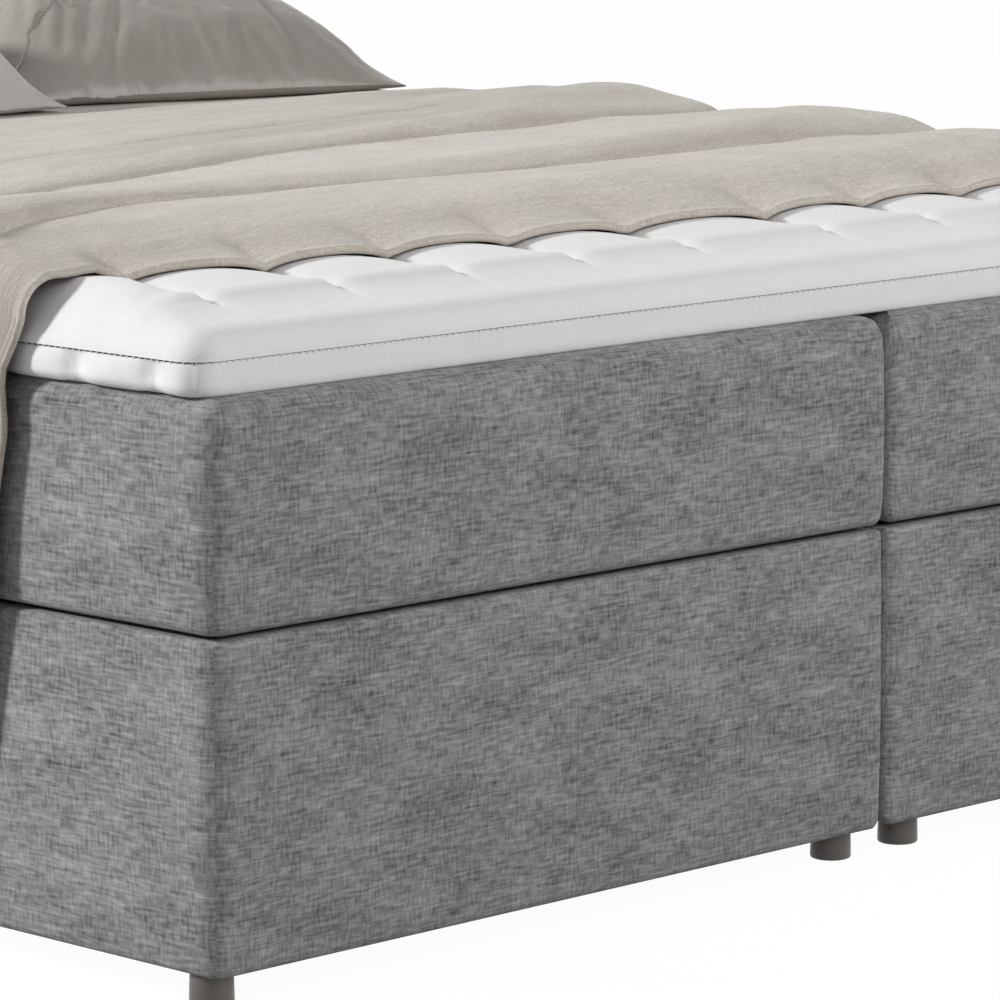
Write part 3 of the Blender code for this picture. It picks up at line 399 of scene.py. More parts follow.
def swell(run, height, low, high):
    """How far a padded face stands out: a slow swell and a little unevenness along the cloth."""
    share = (height - low) / (high - low)
    waves = np.sin(run * 9.0 + 1.3) * np.sin(share * 5.0 + run * 2.1)
    waves = waves + 0.6 * np.sin(run * 23.0 + share * 3.0)
    return np.sin(np.pi * np.clip(share, 0, 1)) * (face_swell + waviness * waves)


def dress(piece, body, node):
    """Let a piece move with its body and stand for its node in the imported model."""
    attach(piece, body)
    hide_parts(node)
    return piece


def half_rim(half, step=plan_step):
    """Grid lines of one half's plan, and its rim."""
    low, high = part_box(f"lid_cover_{half}")
    xs, ys = spaced(low.x, high.x, step), spaced(low.y, high.y, step)
    return xs, ys, rim_out(xs, ys, upright_radii[half])


def split_side(rim, half):
    """1 on the side where the halves meet and 0 elsewhere, along a rim."""
    return np.clip(rim[1][:, 0] * (1 if half == "left" else -1), 0, 1) ** 2


# %% Covers of the storage boxes
cover_skin, skin_reach = 0.002, 0.0022
base_low, base_high = 0.0300, 0.3320
bottom_round, split_wider, split_taller = 0.0085, 0.0215, 0.0055
top_edge, hem_edge = 0.0055, 0.0015
turned_under, hem_inset, hem_drop = 0.034, 0.0246, 0.020


def box_outside(run, wide, tall):
    """The cloth that shows: from under the box, up its side and in over the panel."""
    profile = [(turned_under, base_low)]
    for turn in arc(-90, 0, 7):
        profile.append((wide - wide * math.cos(turn), base_low + tall + tall * math.sin(turn)))
    heights = np.linspace(base_low + 0.026, base_high - 0.016, 14)
    profile += [(-swell(run, z, base_low, base_high), z) for z in heights]
    profile += quarter((top_edge, base_high - top_edge), top_edge, 0, 90, 6)
    profile += [(0.014, base_high), (hem_inset - 0.001, base_high)]
    return profile + quarter((hem_inset - 0.001, base_high - hem_edge), -hem_edge, -90, 0, 3)


def box_inside(wide, tall):
    """The cloth's back, from the stapled hem down to under the box."""
    hem, ceiling = hem_inset + 0.0006, base_high - cover_skin
    profile = [(hem, base_high - hem_drop), (hem - 0.0004, base_high - hem_drop)]
    profile += [(hem - 0.0004, ceiling), (0.010, ceiling)]
    profile += [(0.003, base_high - 0.006), (skin_reach, base_high - 0.02)]
    for turn in arc(0, -90, 5):
        height = base_low + tall + (tall - cover_skin) * math.sin(turn)
        profile.append((wide - (wide - skin_reach) * math.cos(turn), height))
    return [*profile, (turned_under, base_low + cover_skin)]


def base_cover(half):
    rim = half_rim(half)[2]
    split = split_side(rim, half)
    wide, tall = bottom_round + split_wider * split, bottom_round + split_taller * split
    outside = box_outside(rim[2], wide, tall)
    patch = ring_patch(rim, [*outside, *box_inside(wide, tall), outside[0]])
    piece = make_piece(f"box_cover_{half}", [patch], grey_weave)
    dress(piece, "base", f"base_cover_{half}")
    return piece


for half in halves:
    print("box cover", half, len(base_cover(half).data.polygons), "faces")

# %% [markdown]
# The lid's cover is pulled over springs and foam, so it is rounder than the box: the top edge is full, the
# split side is softer still, and the bottom edge rolls in to a dark seam. It is open below, where the rails
# are. At the head end it is round about the hinge axle, so that the lid can turn up without catching its
# box. The same profile is drawn twice, for the face of the cloth and for its back.

# %% Covers of the sprung lids
lid_low, lid_high = 0.3360, 0.5450
axle_z = 0.362
top_radius, split_radius, roll_radius, head_radius = 0.024, 0.034, 0.011, 0.026
split_roll, head_arc = 0.007, 60
lid_swell = 0.0022


def lid_profile(rim, half, skin):
    """Bottom lip to top: softer on the split side, and round about the axle at the head end."""
    _, out, run = rim
    split = split_side(rim, half)
    head = np.clip(out[:, 1], 0, 1) ** 2
    top = top_radius + (split_radius - top_radius) * split
    roll = roll_radius + split_roll * split
    profile = []
    for turn in arc(-90, 0, 7):
        inset = roll - (roll - skin) * math.cos(turn)
        height = lid_low + roll + (roll - skin) * math.sin(turn)
        head_turn = turn * head_arc / 90
        head_inset = head_radius - (head_radius - skin) * math.cos(head_turn)
        head_height = axle_z + (head_radius - skin) * math.sin(head_turn)
        profile.append((inset + (head_inset - inset) * head, height + (head_height - height) * head))
    for share in np.linspace(0.06, 0.94, 12):
        low = lid_low + roll + (axle_z - lid_low - roll) * head
        height = low + (lid_high - top - low) * share
        lift = 0.0 if skin else swell(run, height, lid_low, lid_high) * lid_swell / face_swell
        profile.append((skin - lift, height))
    for turn in arc(0, 90, 9):
        height = lid_high - top + (top - skin) * math.sin(turn)
        profile.append((top - (top - skin) * math.cos(turn), height))
    return profile


def inner_grid(xs, ys, rim, inset):
    """A grid whose rim has been drawn in by an inset that may vary along the rim."""
    edge = drawn_in(rim, inset)
    low, high = edge.min(0), edge.max(0)
    x = low[0] + (xs - xs[0]) / (xs[-1] - xs[0]) * (high[0] - low[0])
    y = low[1] + (ys - ys[0]) / (ys[-1] - ys[0]) * (high[1] - low[1])
    gx, gy = np.meshgrid(x, y, indexing="ij")
    nx, ny = len(xs) - 1, len(ys) - 1
    gx[:, 0], gy[:, 0] = edge[:nx + 1].T
    gx[-1, :], gy[-1, :] = edge[nx:nx + ny + 1].T
    gx[::-1, -1], gy[::-1, -1] = edge[nx + ny:2 * nx + ny + 1].T
    gx[0, ::-1], gy[0, ::-1] = edge[2 * nx + ny:].T
    return gx, gy


def lid_cover(half):
    xs, ys, rim = half_rim(half)
    outside, inside = lid_profile(rim, half, 0.0), lid_profile(rim, half, cover_skin)
    patches = [
        ring_patch(rim, outside),
        top_patch(*inner_grid(xs, ys, rim, outside[-1][0]), lid_high),
        ring_patch(rim, inside),
        top_patch(*inner_grid(xs, ys, rim, inside[-1][0]), lid_high - cover_skin),
        ring_patch(rim, [inside[0], outside[0]]),
    ]
    piece = make_piece(f"lid_cover_cloth_{half}", patches, grey_weave)
    dress(piece, f"lid_{half}", f"lid_cover_{half}")
    return piece


for half in halves:
    print("lid cover", half, len(lid_cover(half).data.polygons), "faces")

# %% [markdown]
# The topper is a slab of foam in a zipped cover of pale knitted cloth. From a step away the knit shows as
# fine ribs with small pulls, and broad soft creases catch the light. Ribs are two sines of the cloth
# lengths and the rest is noise, so the cloth has no seam or repeat.

# %% Finish of the topper's cloth
def topper_finish():
    """Pale knit: fine ribs, tiny pulls in the cloth, and broad soft creases whose light and shade are
    painted into the colour.
    """
    finish = Finish("topper_knit", Roughness=0.82, Sheen_Weight=0.15, Sheen_Roughness=0.4,
                    Specular_IOR_Level=0.3)
    cloth = finish.place("cloth")
    u, v, _ = finish.parts(cloth)
    ribs = (u * (2 * math.pi / 0.0018)).sine() * (v * (2 * math.pi / 0.0024)).sine()
    pulls = finish.noise(cloth, (60.0, 22.0, 2.0), detail=3.0)
    creases = finish.noise(cloth, (9.0, 15.0, 4.0), detail=4.0, roughness=0.6)
    fibres = finish.noise(cloth, (420.0, 420.0, 1.0), detail=1.0)
    finish.bump(ribs * 0.12 + pulls * 1.3 + creases * 2.6 + fibres * 0.2, 0.0013, 0.55)
    # the creases term paints the light and shade of the broad creases into the colour
    tone = 0.55 + (creases - 0.5) * 0.5 + (fibres - 0.5) * 0.4 + ribs * 0.06
    return finish.set(Base_Color=finish.between(tone.clamp(), (0.725, 0.728, 0.718), (0.812, 0.813, 0.806)))


topper_knit = topper_finish()
print("finish", topper_knit.name, len(topper_knit.node_tree.nodes), "nodes")

# %% [markdown]
# The topper's upper half is quilted. Tufts in rows draw it down to the foam, so a deep valley runs along
# the bed at each column of tufts, and a slight crease across it at each row. A simulation could sew the
# tufts, but a formula puts each one where the photograph shows it, and the grid lines crowd together where
# the cloth is sharp.

# %% Where the tufts are
topper_x, topper_y = 0.900, 0.980
topper_corner = (0.030, 0.030)
tuft_pitch = 0.158
tuft_columns = [-0.800, -0.642, -0.484, -0.326, -0.168, 0.038, 0.196, 0.354, 0.512, 0.670, 0.828]
tuft_rows = [-0.880 + 0.1257 * i for i in range(15)]
column_shares = (0.016, 0.045, 0.09, 0.16, 0.26, 0.38, 0.5)
row_shares = (0.03, 0.08, 0.17, 0.32, 0.5)
rim_lines = (0.0, 0.0002, 0.0007, 0.0015, 0.0027, 0.0045, 0.007, 0.0105, 0.015, 0.021, 0.029, 0.039, 0.052,
             0.066, 0.078, 0.087)


def crowded(low, high, places, shares):
    """Grid lines that crowd at each tuft and towards both edges."""
    lines = [low + e for e in rim_lines if low + e < places[0] - 0.004] + [places[0] - 0.010]
    for start, stop in zip(places, places[1:]):
        gap = stop - start
        lines += [start, *(start + gap * s for s in shares), *(stop - gap * s for s in shares[-2::-1])]
    lines += [places[-1], places[-1] + 0.010]
    lines += [high - e for e in rim_lines[::-1] if high - e > places[-1] + 0.014]
    return np.array(lines)


def phase(values, places):
    """How far each value lies between two tuft lines, 0 to 1, and how far off the nearest line is."""
    edges = np.array([places[0] - tuft_pitch, *places, places[-1] + tuft_pitch])
    index = np.clip(np.searchsorted(edges, values, side="right") - 1, 0, len(edges) - 2)
    share = (values - edges[index]) / (edges[index + 1] - edges[index])
    return share, np.abs(values - np.where(share < 0.5, edges[index], edges[index + 1]))


print("tufts", len(tuft_columns), "x", len(tuft_rows))

# %% [markdown]
# The height of the quilted cloth is a sum of simple shapes: a round wall above the seam, a slope that
# climbs from the wall to the first tufts, a hump between two columns of tufts, and a well at each tuft. The
# first row of tufts lies 10 cm from the foot end. Outside it the cloth slopes down without humps, and a
# small lip runs there.

# %% Height of the quilted cloth
seam_low, seam_high = 0.5748, 0.5766
wall_round, wall_height, slope_height = 0.030, 0.0260, 0.0185
wall_bend, wall_fulness = 2.4, 0.55
first_row, slope_join = 0.100, 5
crest_height, foot_crest, crest_fulness, row_depth, sink = 0.0165, 0.0030, 0.38, 0.18, 0.0095
lip_height, lip_place, lip_width = 0.0026, 0.097, 0.0075
well_depth, well_width, first_pull, row_pull = 0.0058, 0.0075, 0.022, 0.015
slow_wave = 0.0008


def ease(value, low, high):
    """A smooth step from 0 at low to 1 at high."""
    share = np.clip((value - low) / (high - low), 0, 1)
    return share * share * (3 - 2 * share)


def wall_and_slope(side, end, edge):
    """The cloth from the seam to the tufts, without quilting; the slopes of side and end are blended."""
    corner = topper_corner[0]
    from_rim = corner - np.hypot(np.clip(corner - side, 0, None), np.clip(corner - end, 0, None))
    from_rim = np.where(edge > 0, np.maximum(from_rim, 0), 0)
    from_rim = from_rim + np.clip(np.minimum(side, end) - corner, 0, None)
    wall = wall_height * (1 - (1 - np.clip(from_rim / wall_round, 0, 1)) ** wall_bend) ** wall_fulness
    slope_x = np.sin(np.pi / 2 * np.clip((side - 0.006) / 0.062, 0, 1))
    slope_y = np.clip((end - 0.008) / 0.092, 0, 1) ** 1.35
    steep_x, steep_y = np.maximum(slope_x, 0.001) ** -slope_join, np.maximum(slope_y, 0.001) ** -slope_join
    return wall + slope_height * (steep_x + steep_y - 1) ** (-1 / slope_join)


def quilt_height(x, y, edge):
    """Height of the quilted cloth above the seam; edge is the distance to the topper's outline."""
    side, end = topper_x - abs(x), topper_y - abs(y)
    share_x, near_column = phase(x, tuft_columns)
    share_y, near_row = phase(y, tuft_rows)
    inside = ease(end, first_row, 0.165)
    climb_x = np.clip(side / 0.060, 0, 1) ** 1.5
    climb = np.minimum(climb_x, 0.17 * np.clip(end / first_row, 0, 1) ** 4 + 0.83 * inside)
    puff = np.abs(np.sin(np.pi * share_x)) ** crest_fulness
    saddle = 1 - row_depth * (1 - np.abs(np.sin(np.pi * share_y))) ** 1.5 * ease(end, 0.12, 0.20)
    crest = crest_height + foot_crest * np.clip((-0.45 - y) / 0.15, 0, 1)
    hump = crest * puff * climb * saddle
    between_columns = np.clip(near_column / 0.012, 0, 1)
    lip = lip_height * np.exp(-((end - lip_place) / lip_width) ** 2) * between_columns * climb_x
    pull = np.where(end < first_row, first_pull, row_pull)
    well = well_depth * np.exp(-(near_column / well_width) ** 1.2 - (near_row / pull) ** 1.5)
    well = well * climb_x * np.clip(end / 0.06, 0, 1) ** 2
    slow = slow_wave * np.sin(x * 7.0 + 1.0) * np.sin(y * 5.0 + 0.4) * climb
    low = sink * inside * ease(side, 0.04, 0.10)
    height = wall_and_slope(side, end, edge) + hump + lip + slow - low - well
    return np.where(edge > 0, height, 0)


# %% The quilted upper half
core_inset, core_top, core_chamfer = 0.0135, 0.5965, 0.0055
quilt_angle = math.radians(75)


def quilted_top():
    """The quilted cloth above and a ceiling below it, where the foam core lies."""
    xs = crowded(-topper_x, topper_x, tuft_columns, column_shares)
    ys = crowded(-topper_y, topper_y, tuft_rows, row_shares)
    x, y, edge = lay_grid(xs, ys, topper_corner)
    upper = top_patch(x, y, seam_high + quilt_height(x, y, edge))
    rim = rim_out(xs, ys, topper_corner)
    under = ring_patch(rim, [(0.0, seam_high), (core_inset, seam_high),
                             (core_inset, core_top - core_chamfer), (core_inset + core_chamfer, core_top)])
    ceiling = top_patch(*inner_grid(xs, ys, rim, core_inset + core_chamfer), core_top)
    piece = make_piece("topper_quilted_cover", [upper, under, ceiling], topper_knit, quilt_angle)
    dress(piece, "topper", "topper_quilted_top")
    return piece


print("quilted top", len(quilted_top().data.polygons), "faces")

# %% [markdown]
# The lower half of the topper's cover is a plain band round the foam. Along the long sides it is a little
# slack and is held by a tack every hand's breadth, so it puffs out between small pinches. At the foot end
# it is taut. Two numbers along the rim, the pinch and the puff, shape all its rings, so no tack has to be
# modelled alone.

# %% The lower half of the topper
band_low, sole_thickness = 0.5453, 0.003
sole_inset, floor_inset = 0.012, 0.06
tack_places = np.array([-0.920 + 0.102 * i for i in range(19)])
tack_reach, tack_depth, tack_lift, slack_out = 0.0085, 0.0082, 0.0058, 0.0036
band_step = 0.0085


def pinch_and_puff(points, out):
    """Both are 0 along the ends; at a long side pinch is 1 at a tack, and puff is 1 midway between two."""
    gap = np.min(np.abs(points[:, 1:2] - tack_places[None]), axis=1)
    long_side = np.abs(out[:, 0])
    return long_side * np.exp(-(gap / tack_reach) ** 1.3), long_side * np.clip(gap / 0.04, 0, 1)


def band_profile(rim):
    """From under the topper up to the zip, each ring drawn in at the tacks and slack between them."""
    points, out, run = rim
    pinch, puff = pinch_and_puff(points, out)
    wobble = 0.0006 * np.sin(run * 31.0) + 0.0004 * np.sin(run * 83.0 + 1.0)
    foot = np.clip(-out[:, 1], 0, 1) ** 2
    profile = [(sole_inset, band_low)]
    for share in np.linspace(0, 1, 15):
        belly = math.sin(math.pi * share) ** 0.7
        bottom = (1 - min(1.0, share / 0.30)) ** 2
        slack = belly * (tack_depth * pinch - slack_out * puff - wobble)
        inset = 0.0016 + (0.0054 - 0.0034 * foot) * bottom + slack
        height = band_low + (seam_low - band_low) * share + tack_lift * pinch * (1 - share) ** 2
        profile.append((inset, height + 0.0010 * foot * share ** 2))
    return [*profile, (core_inset, profile[-1][1])]


def topper_band():
    xs, ys = spaced(-topper_x, topper_x, plan_step), spaced(-topper_y, topper_y, band_step)
    rim = rim_out(xs, ys, topper_corner)
    floor = band_low + sole_thickness
    profile = [*band_profile(rim), (core_inset, floor), (floor_inset, floor)]
    patches = [
        ring_patch(rim, profile),
        top_patch(*inner_grid(xs, ys, rim, floor_inset), floor),
        top_patch(*inner_grid(xs, ys, rim, sole_inset), band_low),
    ]
    piece = make_piece("topper_lower_cover", patches, topper_knit, quilt_angle)
    dress(piece, "topper", "topper_bottom_cover")
    return piece


print("topper band", len(topper_band().data.polygons), "faces")

# %% [markdown]
# The bedspread is a coarse linen in a warm grey. Its yarn is uneven, a pale fibre stands out here and
# there, and pressing has left small creases. The two thread directions are again stretched noise, finer
# than in the weave of the boxes, and the pale specks are a second colour laid over the first.

# %% Finish of the linen
def linen_finish():
    """Warm grey linen: uneven yarn, pale specks where a fibre stands out, and small pressed creases."""
    finish = Finish("spread_linen", Roughness=0.92, Sheen_Weight=0.25, Sheen_Roughness=0.5,
                    Specular_IOR_Level=0.2)
    cloth = finish.place("cloth")
    u, v, _ = finish.parts(cloth)
    turn = 2 * math.pi / 0.0013
    weave = (u * turn).sine() * (v * turn).sine()
    weft, warp = thread_tone(finish, cloth, 110.0, 560.0, 2.0)
    slub_weft, slub_warp = thread_tone(finish, cloth, 26.0, 300.0, 9.0)
    specks = finish.noise(cloth, (250.0, 290.0, 6.0), detail=1.0).rise(0.67, 0.76)
    patches = finish.noise(cloth, (11.0, 16.0, 5.0), detail=4.0)
    creases = finish.noise(cloth, (24.0, 60.0, 8.0), detail=4.0, roughness=0.65)
    threads = (weft - 0.5) + (warp - 0.5)
    slubs = slub_weft.rise(0.60, 0.74) + slub_warp.rise(0.60, 0.74)
    # the creases term paints shade and light along the pressed creases into the colour
    tone = 0.49 + threads * 1.05 + slubs * 0.16 + (patches - 0.5) * 0.70 + (creases - 0.5) * 0.45
    colour = finish.between(tone.clamp(), (0.405, 0.367, 0.322), (0.680, 0.627, 0.562))
    colour = finish.between((specks * 0.7).clamp(), colour, (0.80, 0.78, 0.74))
    finish.bump(threads * 0.55 + weave * 0.10 + slubs * 0.25 + creases * 3.6 + patches * 2.2, 0.0010, 0.85)
    return finish.set(Base_Color=colour)


spread_linen = linen_finish()
print("finish", spread_linen.name, len(spread_linen.node_tree.nodes), "nodes")

# %% [markdown]
# The bedspread is one sheet of linen laid across the bed. Long soft rolls cross it, and each has a steep
# front and a gentle back, as cloth has that was pushed together towards the pillows. A cloth simulation
# would put the rolls anywhere. Here each roll is a curve across the bed, given at nine stations: where its
# foot lies and how high it is, as the photograph shows it.

# %% The bedspread's measures
spread_side, spread_top, spread_hem, spread_bend = 0.9060, 0.6318, 0.100, 0.034
spread_back = 0.965
stations = np.array([-1.00, -0.75, -0.50, -0.25, 0.00, 0.25, 0.50, 0.75, 1.00]) * topper_x
front_line = [-0.750, -0.784, -0.784, -0.792, -0.797, -0.788, -0.783, -0.780, -0.780]
roll_feet = (
    (-0.690, -0.580, -0.490, -0.452, -0.438, -0.415, -0.380, -0.345, -0.330),
    (-0.500, -0.400, -0.295, -0.180, -0.085, -0.052, -0.040, 0.000, 0.030),
    (-0.130, -0.080, -0.025, 0.020, 0.060, 0.105, 0.135, 0.225, 0.310),
    (0.220, 0.262, 0.300, 0.330, 0.356, 0.380, 0.405, 0.432, 0.465),
)
roll_heights = (
    (0.020, 0.019, 0.018, 0.017, 0.016, 0.018, 0.020, 0.022, 0.022),
    (0.012, 0.014, 0.015, 0.014, 0.013, 0.015, 0.019, 0.025, 0.028),
    (0.006, 0.006, 0.007, 0.007, 0.009, 0.011, 0.010, 0.006, 0.003),
    (0.005, 0.005, 0.004, 0.003, 0.002, 0.002, 0.002, 0.001, 0.001),
)
hang_back = [(0.00, -0.012), (0.05, 0.010), (0.10, 0.006), (0.20, 0.024), (0.50, 0.070)]


def across_bed(values, x):
    """A smooth curve across the bed through the values at its stations."""
    knots, smoothing = np.linspace(-0.95, 0.95, 77), np.array([1, 3, 6, 8, 6, 3, 1]) / 28
    padded = np.pad(np.interp(knots, stations, values), len(smoothing) // 2, mode="edge")
    return np.interp(x, knots, np.convolve(padded, smoothing, mode="valid"))


def spread_path():
    """Across the bed: x, z, the outward direction there and the length of cloth hanging at that point."""
    bend = spread_bend
    drop = np.linspace(spread_hem, spread_top - bend, 34)[:-1]
    flat = np.linspace(-spread_side + bend, spread_side - bend, 168)[1:-1]
    left = [(-spread_side, z, -1, 0, spread_top - bend - z) for z in drop]
    for t in np.linspace(0, math.pi / 2, 10):
        x, z = -spread_side + bend - bend * math.cos(t), spread_top - bend + bend * math.sin(t)
        left.append((x, z, -math.cos(t), math.sin(t), 0.0))
    right = [(-x, z, -ox, oz, hang) for x, z, ox, oz, hang in left[::-1]]
    return np.array(left + [(x, spread_top, 0, 1, 0.0) for x in flat] + right)


print("bedspread path", len(spread_path()), "points,", len(roll_feet), "long rolls")

# %% [markdown]
# The cloth's distance from the path is a sum too. Each long roll rises steeply and falls off slowly, the
# front roll lies behind the hem, and fine ripples run slantwise between them. At the hem nothing is left of
# the rolls: there the cloth drapes over the bumps of the quilting, taking the highest bump within a thumb's
# breadth, because it is too stiff to follow each valley. Where it hangs, the rolls die out and upright
# folds begin.

# %% Rolls, drape and folds
roll_rise, far_rise, roll_fall = 0.056, 0.100, 0.27
spread_lift, front_roll, front_rise = 0.0120, 0.0215, 0.135
drape_steps, drape_reach = (-0.009, -0.0045, 0, 0.0045, 0.009), 0.075
cloth_gap, hanging_gap = 0.0004, 0.0020
ripple_height, fold_out, fold_depth = 0.0013, 0.0125, 0.0115


def long_rolls(x, y, near_front):
    """The rolls across the bed, which grow wider to the right, and the one behind the hem."""
    off = np.zeros(np.broadcast(x, y).shape)
    for feet, heights in zip(roll_feet, roll_heights):
        behind = y - across_bed(feet, x)
        rise = roll_rise + far_rise * ease(x, 0.45, 0.88)
        steep = (1 - (1 - np.clip(behind / rise, 0, 1)) ** 2) ** 0.75
        off += across_bed(heights, x) * steep * (1 - ease(behind, rise, rise + roll_fall))
    full = 1 - (1 - np.clip(near_front / front_rise, 0, 1)) ** 2.1
    far = ease(x, 0.60, 0.87)
    fall = 1 - ease(near_front, 0.20 - 0.06 * far, 0.41 - 0.11 * far)
    off += front_roll * (1 - 0.4 * far) * full * fall
    far_side = 1 - ease(x, 0.62, 0.86) * (1 - 0.5 * ease(y, 0.0, 0.35))
    return off + spread_lift * ease(near_front, 0.0, 0.15) * (1 - ease(y, 0.49, 0.60)) * far_side


def ripples(x, y):
    """Fine slanting ripples, -1.6 to 1.6."""
    slant = y - x * 0.28
    ripple = np.sin(slant * 41 + 1.3 * np.sin(x * 3.1)) * np.sin(x * 4.3 + y * 2.0 + 0.7)
    return ripple + 0.6 * np.sin(slant * 67 + 2.0 * np.sin(x * 5.0 + 1.0)) * np.sin(x * 7.1 - y * 3.0)


def hanging_folds(x, y):
    """Upright folds of the hanging side, -1.45 to 1.45; the two sides differ."""
    side = np.where(x < 0, 0.0, 1.9)
    wide = np.sin(y * 21.5 + side + 0.9 * np.sin(y * 5.2 + side))
    return wide + 0.45 * np.sin(y * 39.0 + 2.2 * side + 1.1)


def spread_swell(x, y, hang):
    """How far the cloth stands off its path."""
    near_front = y - across_bed(front_line, x)
    off = long_rolls(x, y, near_front)
    bumps = np.max([quilt_height(x + step, y, np.ones(off.shape)) for step in drape_steps], axis=0)
    drape = (1 - ease(near_front, 0.0, drape_reach)) * (1 - ease(np.abs(x), 0.83, 0.865))
    off += (seam_high + bumps + cloth_gap - spread_top) * drape
    calm = 0.25 + 0.75 * (1 - ease(y, 0.42, 0.60))
    fine = ripple_height * ripples(x, y) * calm * ease(near_front, 0.0, 0.10)
    off = off * (1 - ease(y, 0.46, 0.62)) + fine
    deep = ease(hang, 0.0, 0.42)
    folds = deep * (fold_out + fold_depth * hanging_folds(x, y))
    return off * (1 - 0.65 * deep) + folds + cloth_gap + hanging_gap * ease(hang, 0.0, 0.08)


# %% [markdown]
# The sheet is a grid: its lines run along the path across the bed, and at each of them from the hem to the
# head end. They crowd at the foot of each roll, where the cloth turns sharply. The hem itself is a small
# round nose, as a folded and sewn edge has, and a second sheet below the first, moved along its normals,
# gives the thickness.

# %% The bedspread
cloth_thickness = 0.0030
hem_radius, thinner_hem = 0.0042, 0.0004
hem_turns = np.radians(np.array([-118, -100, -80, -60, -40, -20, 0, 20, 40, 60, 78, 90]))
sheet_rows = ((26, 1.6), (11, 1.6), (15, 1.0), (11, 1.6), (16, 1.0), (11, 1.6), (13, 1.0), (11, 1.6),
              (10, 1.0), (20, 1.0))
# a row that lies flat on the topper all the way down, and a line near the middle of the bed
flat_row, middle_line = 60, 80


def sheet_lines(x, front):
    """Y of the rows from the hem to the head end, crowded at the foot of each roll."""
    stops = [front]
    for feet in roll_feet:
        stops += [across_bed(feet, x), across_bed(feet, x) + 0.058]
    stops += [0.62 + 0 * x, spread_back + 0 * x]
    lines = []
    for start, stop, (rows, crowding) in zip(stops, stops[1:], sheet_rows):
        lines.append(start + (stop - start) * (np.arange(1, rows + 1) / rows) ** crowding)
    return np.concatenate(lines, 1)


def sheet_surface():
    """The upper surface, the way along the path at each line, and the path's outward direction."""
    path = spread_path()
    x, z, out_x, out_z, hang = (column[:, None] for column in path.T)
    length = np.concatenate([[0], np.cumsum(np.hypot(np.diff(path[:, 0]), np.diff(path[:, 1])))])[:, None]
    radius = hem_radius - thinner_hem * ease(hang, 0.02, 0.25)
    front = across_bed(front_line, x) + np.interp(hang, *zip(*hang_back))
    y_body = sheet_lines(x, front + radius)
    y_nose = front + radius - radius * np.cos(hem_turns)[None]
    lift_nose = radius * (1 + np.sin(hem_turns))[None] - 2 * radius
    off_body = spread_swell(x, y_body, hang) + 2 * radius * (1 - ease(y_body - front, 0.0, 0.20))
    off_nose = spread_swell(x, front + radius, hang) + 2 * radius + lift_nose
    y, off = np.concatenate([y_nose, y_body], 1), np.concatenate([off_nose, off_body], 1)
    return np.stack([x + out_x * off, y, z + out_z * off], 2), length, out_x, out_z


def bedspread():
    outer, length, out_x, out_z = sheet_surface()
    normal = np.cross(np.gradient(outer, axis=1), np.gradient(outer, axis=0))
    area = np.linalg.norm(normal, axis=2)
    normal /= area[..., None]
    outwards = (normal[..., 0] * out_x + normal[..., 2] * out_z)[:, flat_row:flat_row + 1]
    inner = outer - normal * np.sign(outwards)[..., None] * cloth_thickness
    steps = np.linalg.norm(np.diff(outer[middle_line:middle_line + 1], axis=1), axis=2)
    down = np.concatenate([[[0.0]], np.cumsum(steps, axis=1)], 1)
    cloth = np.stack(np.broadcast_arrays(length, down), 2)

    def edge_patch(index):
        return np.stack([outer[index], inner[index]]), np.stack([cloth[index], cloth[index] + 0.002])

    edges = [(0, slice(None)), (-1, slice(None)), (slice(None), 0), (slice(None), -1)]
    patches = [(outer, cloth), (inner, cloth), *map(edge_patch, edges)]
    piece = make_piece("linen_bedspread", patches, spread_linen)
    dress(piece, "bedspread", "bedspread")
    return float(length[-1, 0]), float(down[0, -1]), area[1:, 1:].sum()


print("bedspread: across, down and area", [round(v, 3) for v in bedspread()])

# %% [markdown]
# The pillows have satin covers. Satin shows its threads only from very near, as a faint grain. What the eye
# sees is a soft gloss that breaks on small folds, so most of this finish is bump and little of it is
# colour.

# %% Satin
def satin(name, dark, light):
    """Smooth satin: almost no texture, a soft gloss and a faint grain along the cloth."""
    finish = Finish(name, Roughness=0.36, Sheen_Weight=0.35, Sheen_Roughness=0.3, Specular_IOR_Level=0.55)
    cloth = finish.place("cloth")
    grain = finish.noise(cloth, (1400.0, 90.0, 1.0), detail=1.0)
    folds = finish.noise(cloth, (9.0, 13.0, 3.0), detail=3.0, roughness=0.5)
    small = finish.noise(cloth, (55.0, 30.0, 5.0), detail=3.0, roughness=0.6)
    finish.bump(folds * 7.0 + small + grain * 0.03, 0.0016, 0.8)
    # the folds term paints light and shade of the broad folds into the colour
    tone = 0.5 + (grain - 0.5) * 0.5 + (folds - 0.5) * 0.8
    return finish.set(Base_Color=finish.between(tone.clamp(), dark, light))


taupe_satin = satin("taupe_satin", (0.222, 0.200, 0.177), (0.300, 0.276, 0.250))
pale_satin = satin("pale_satin", (0.38, 0.345, 0.325), (0.50, 0.465, 0.445))
print("finishes", taupe_satin.name, pale_satin.name)

# %% [markdown]
# A pillow is two pieces of satin sewn round the edge and filled. Its outline and its long wrinkles are
# fixed by the photograph, so a formula makes them: a crown that falls to a thin rim, gathers near the seam,
# and wrinkles that run towards the corners, each a valley with a small ridge beside it.

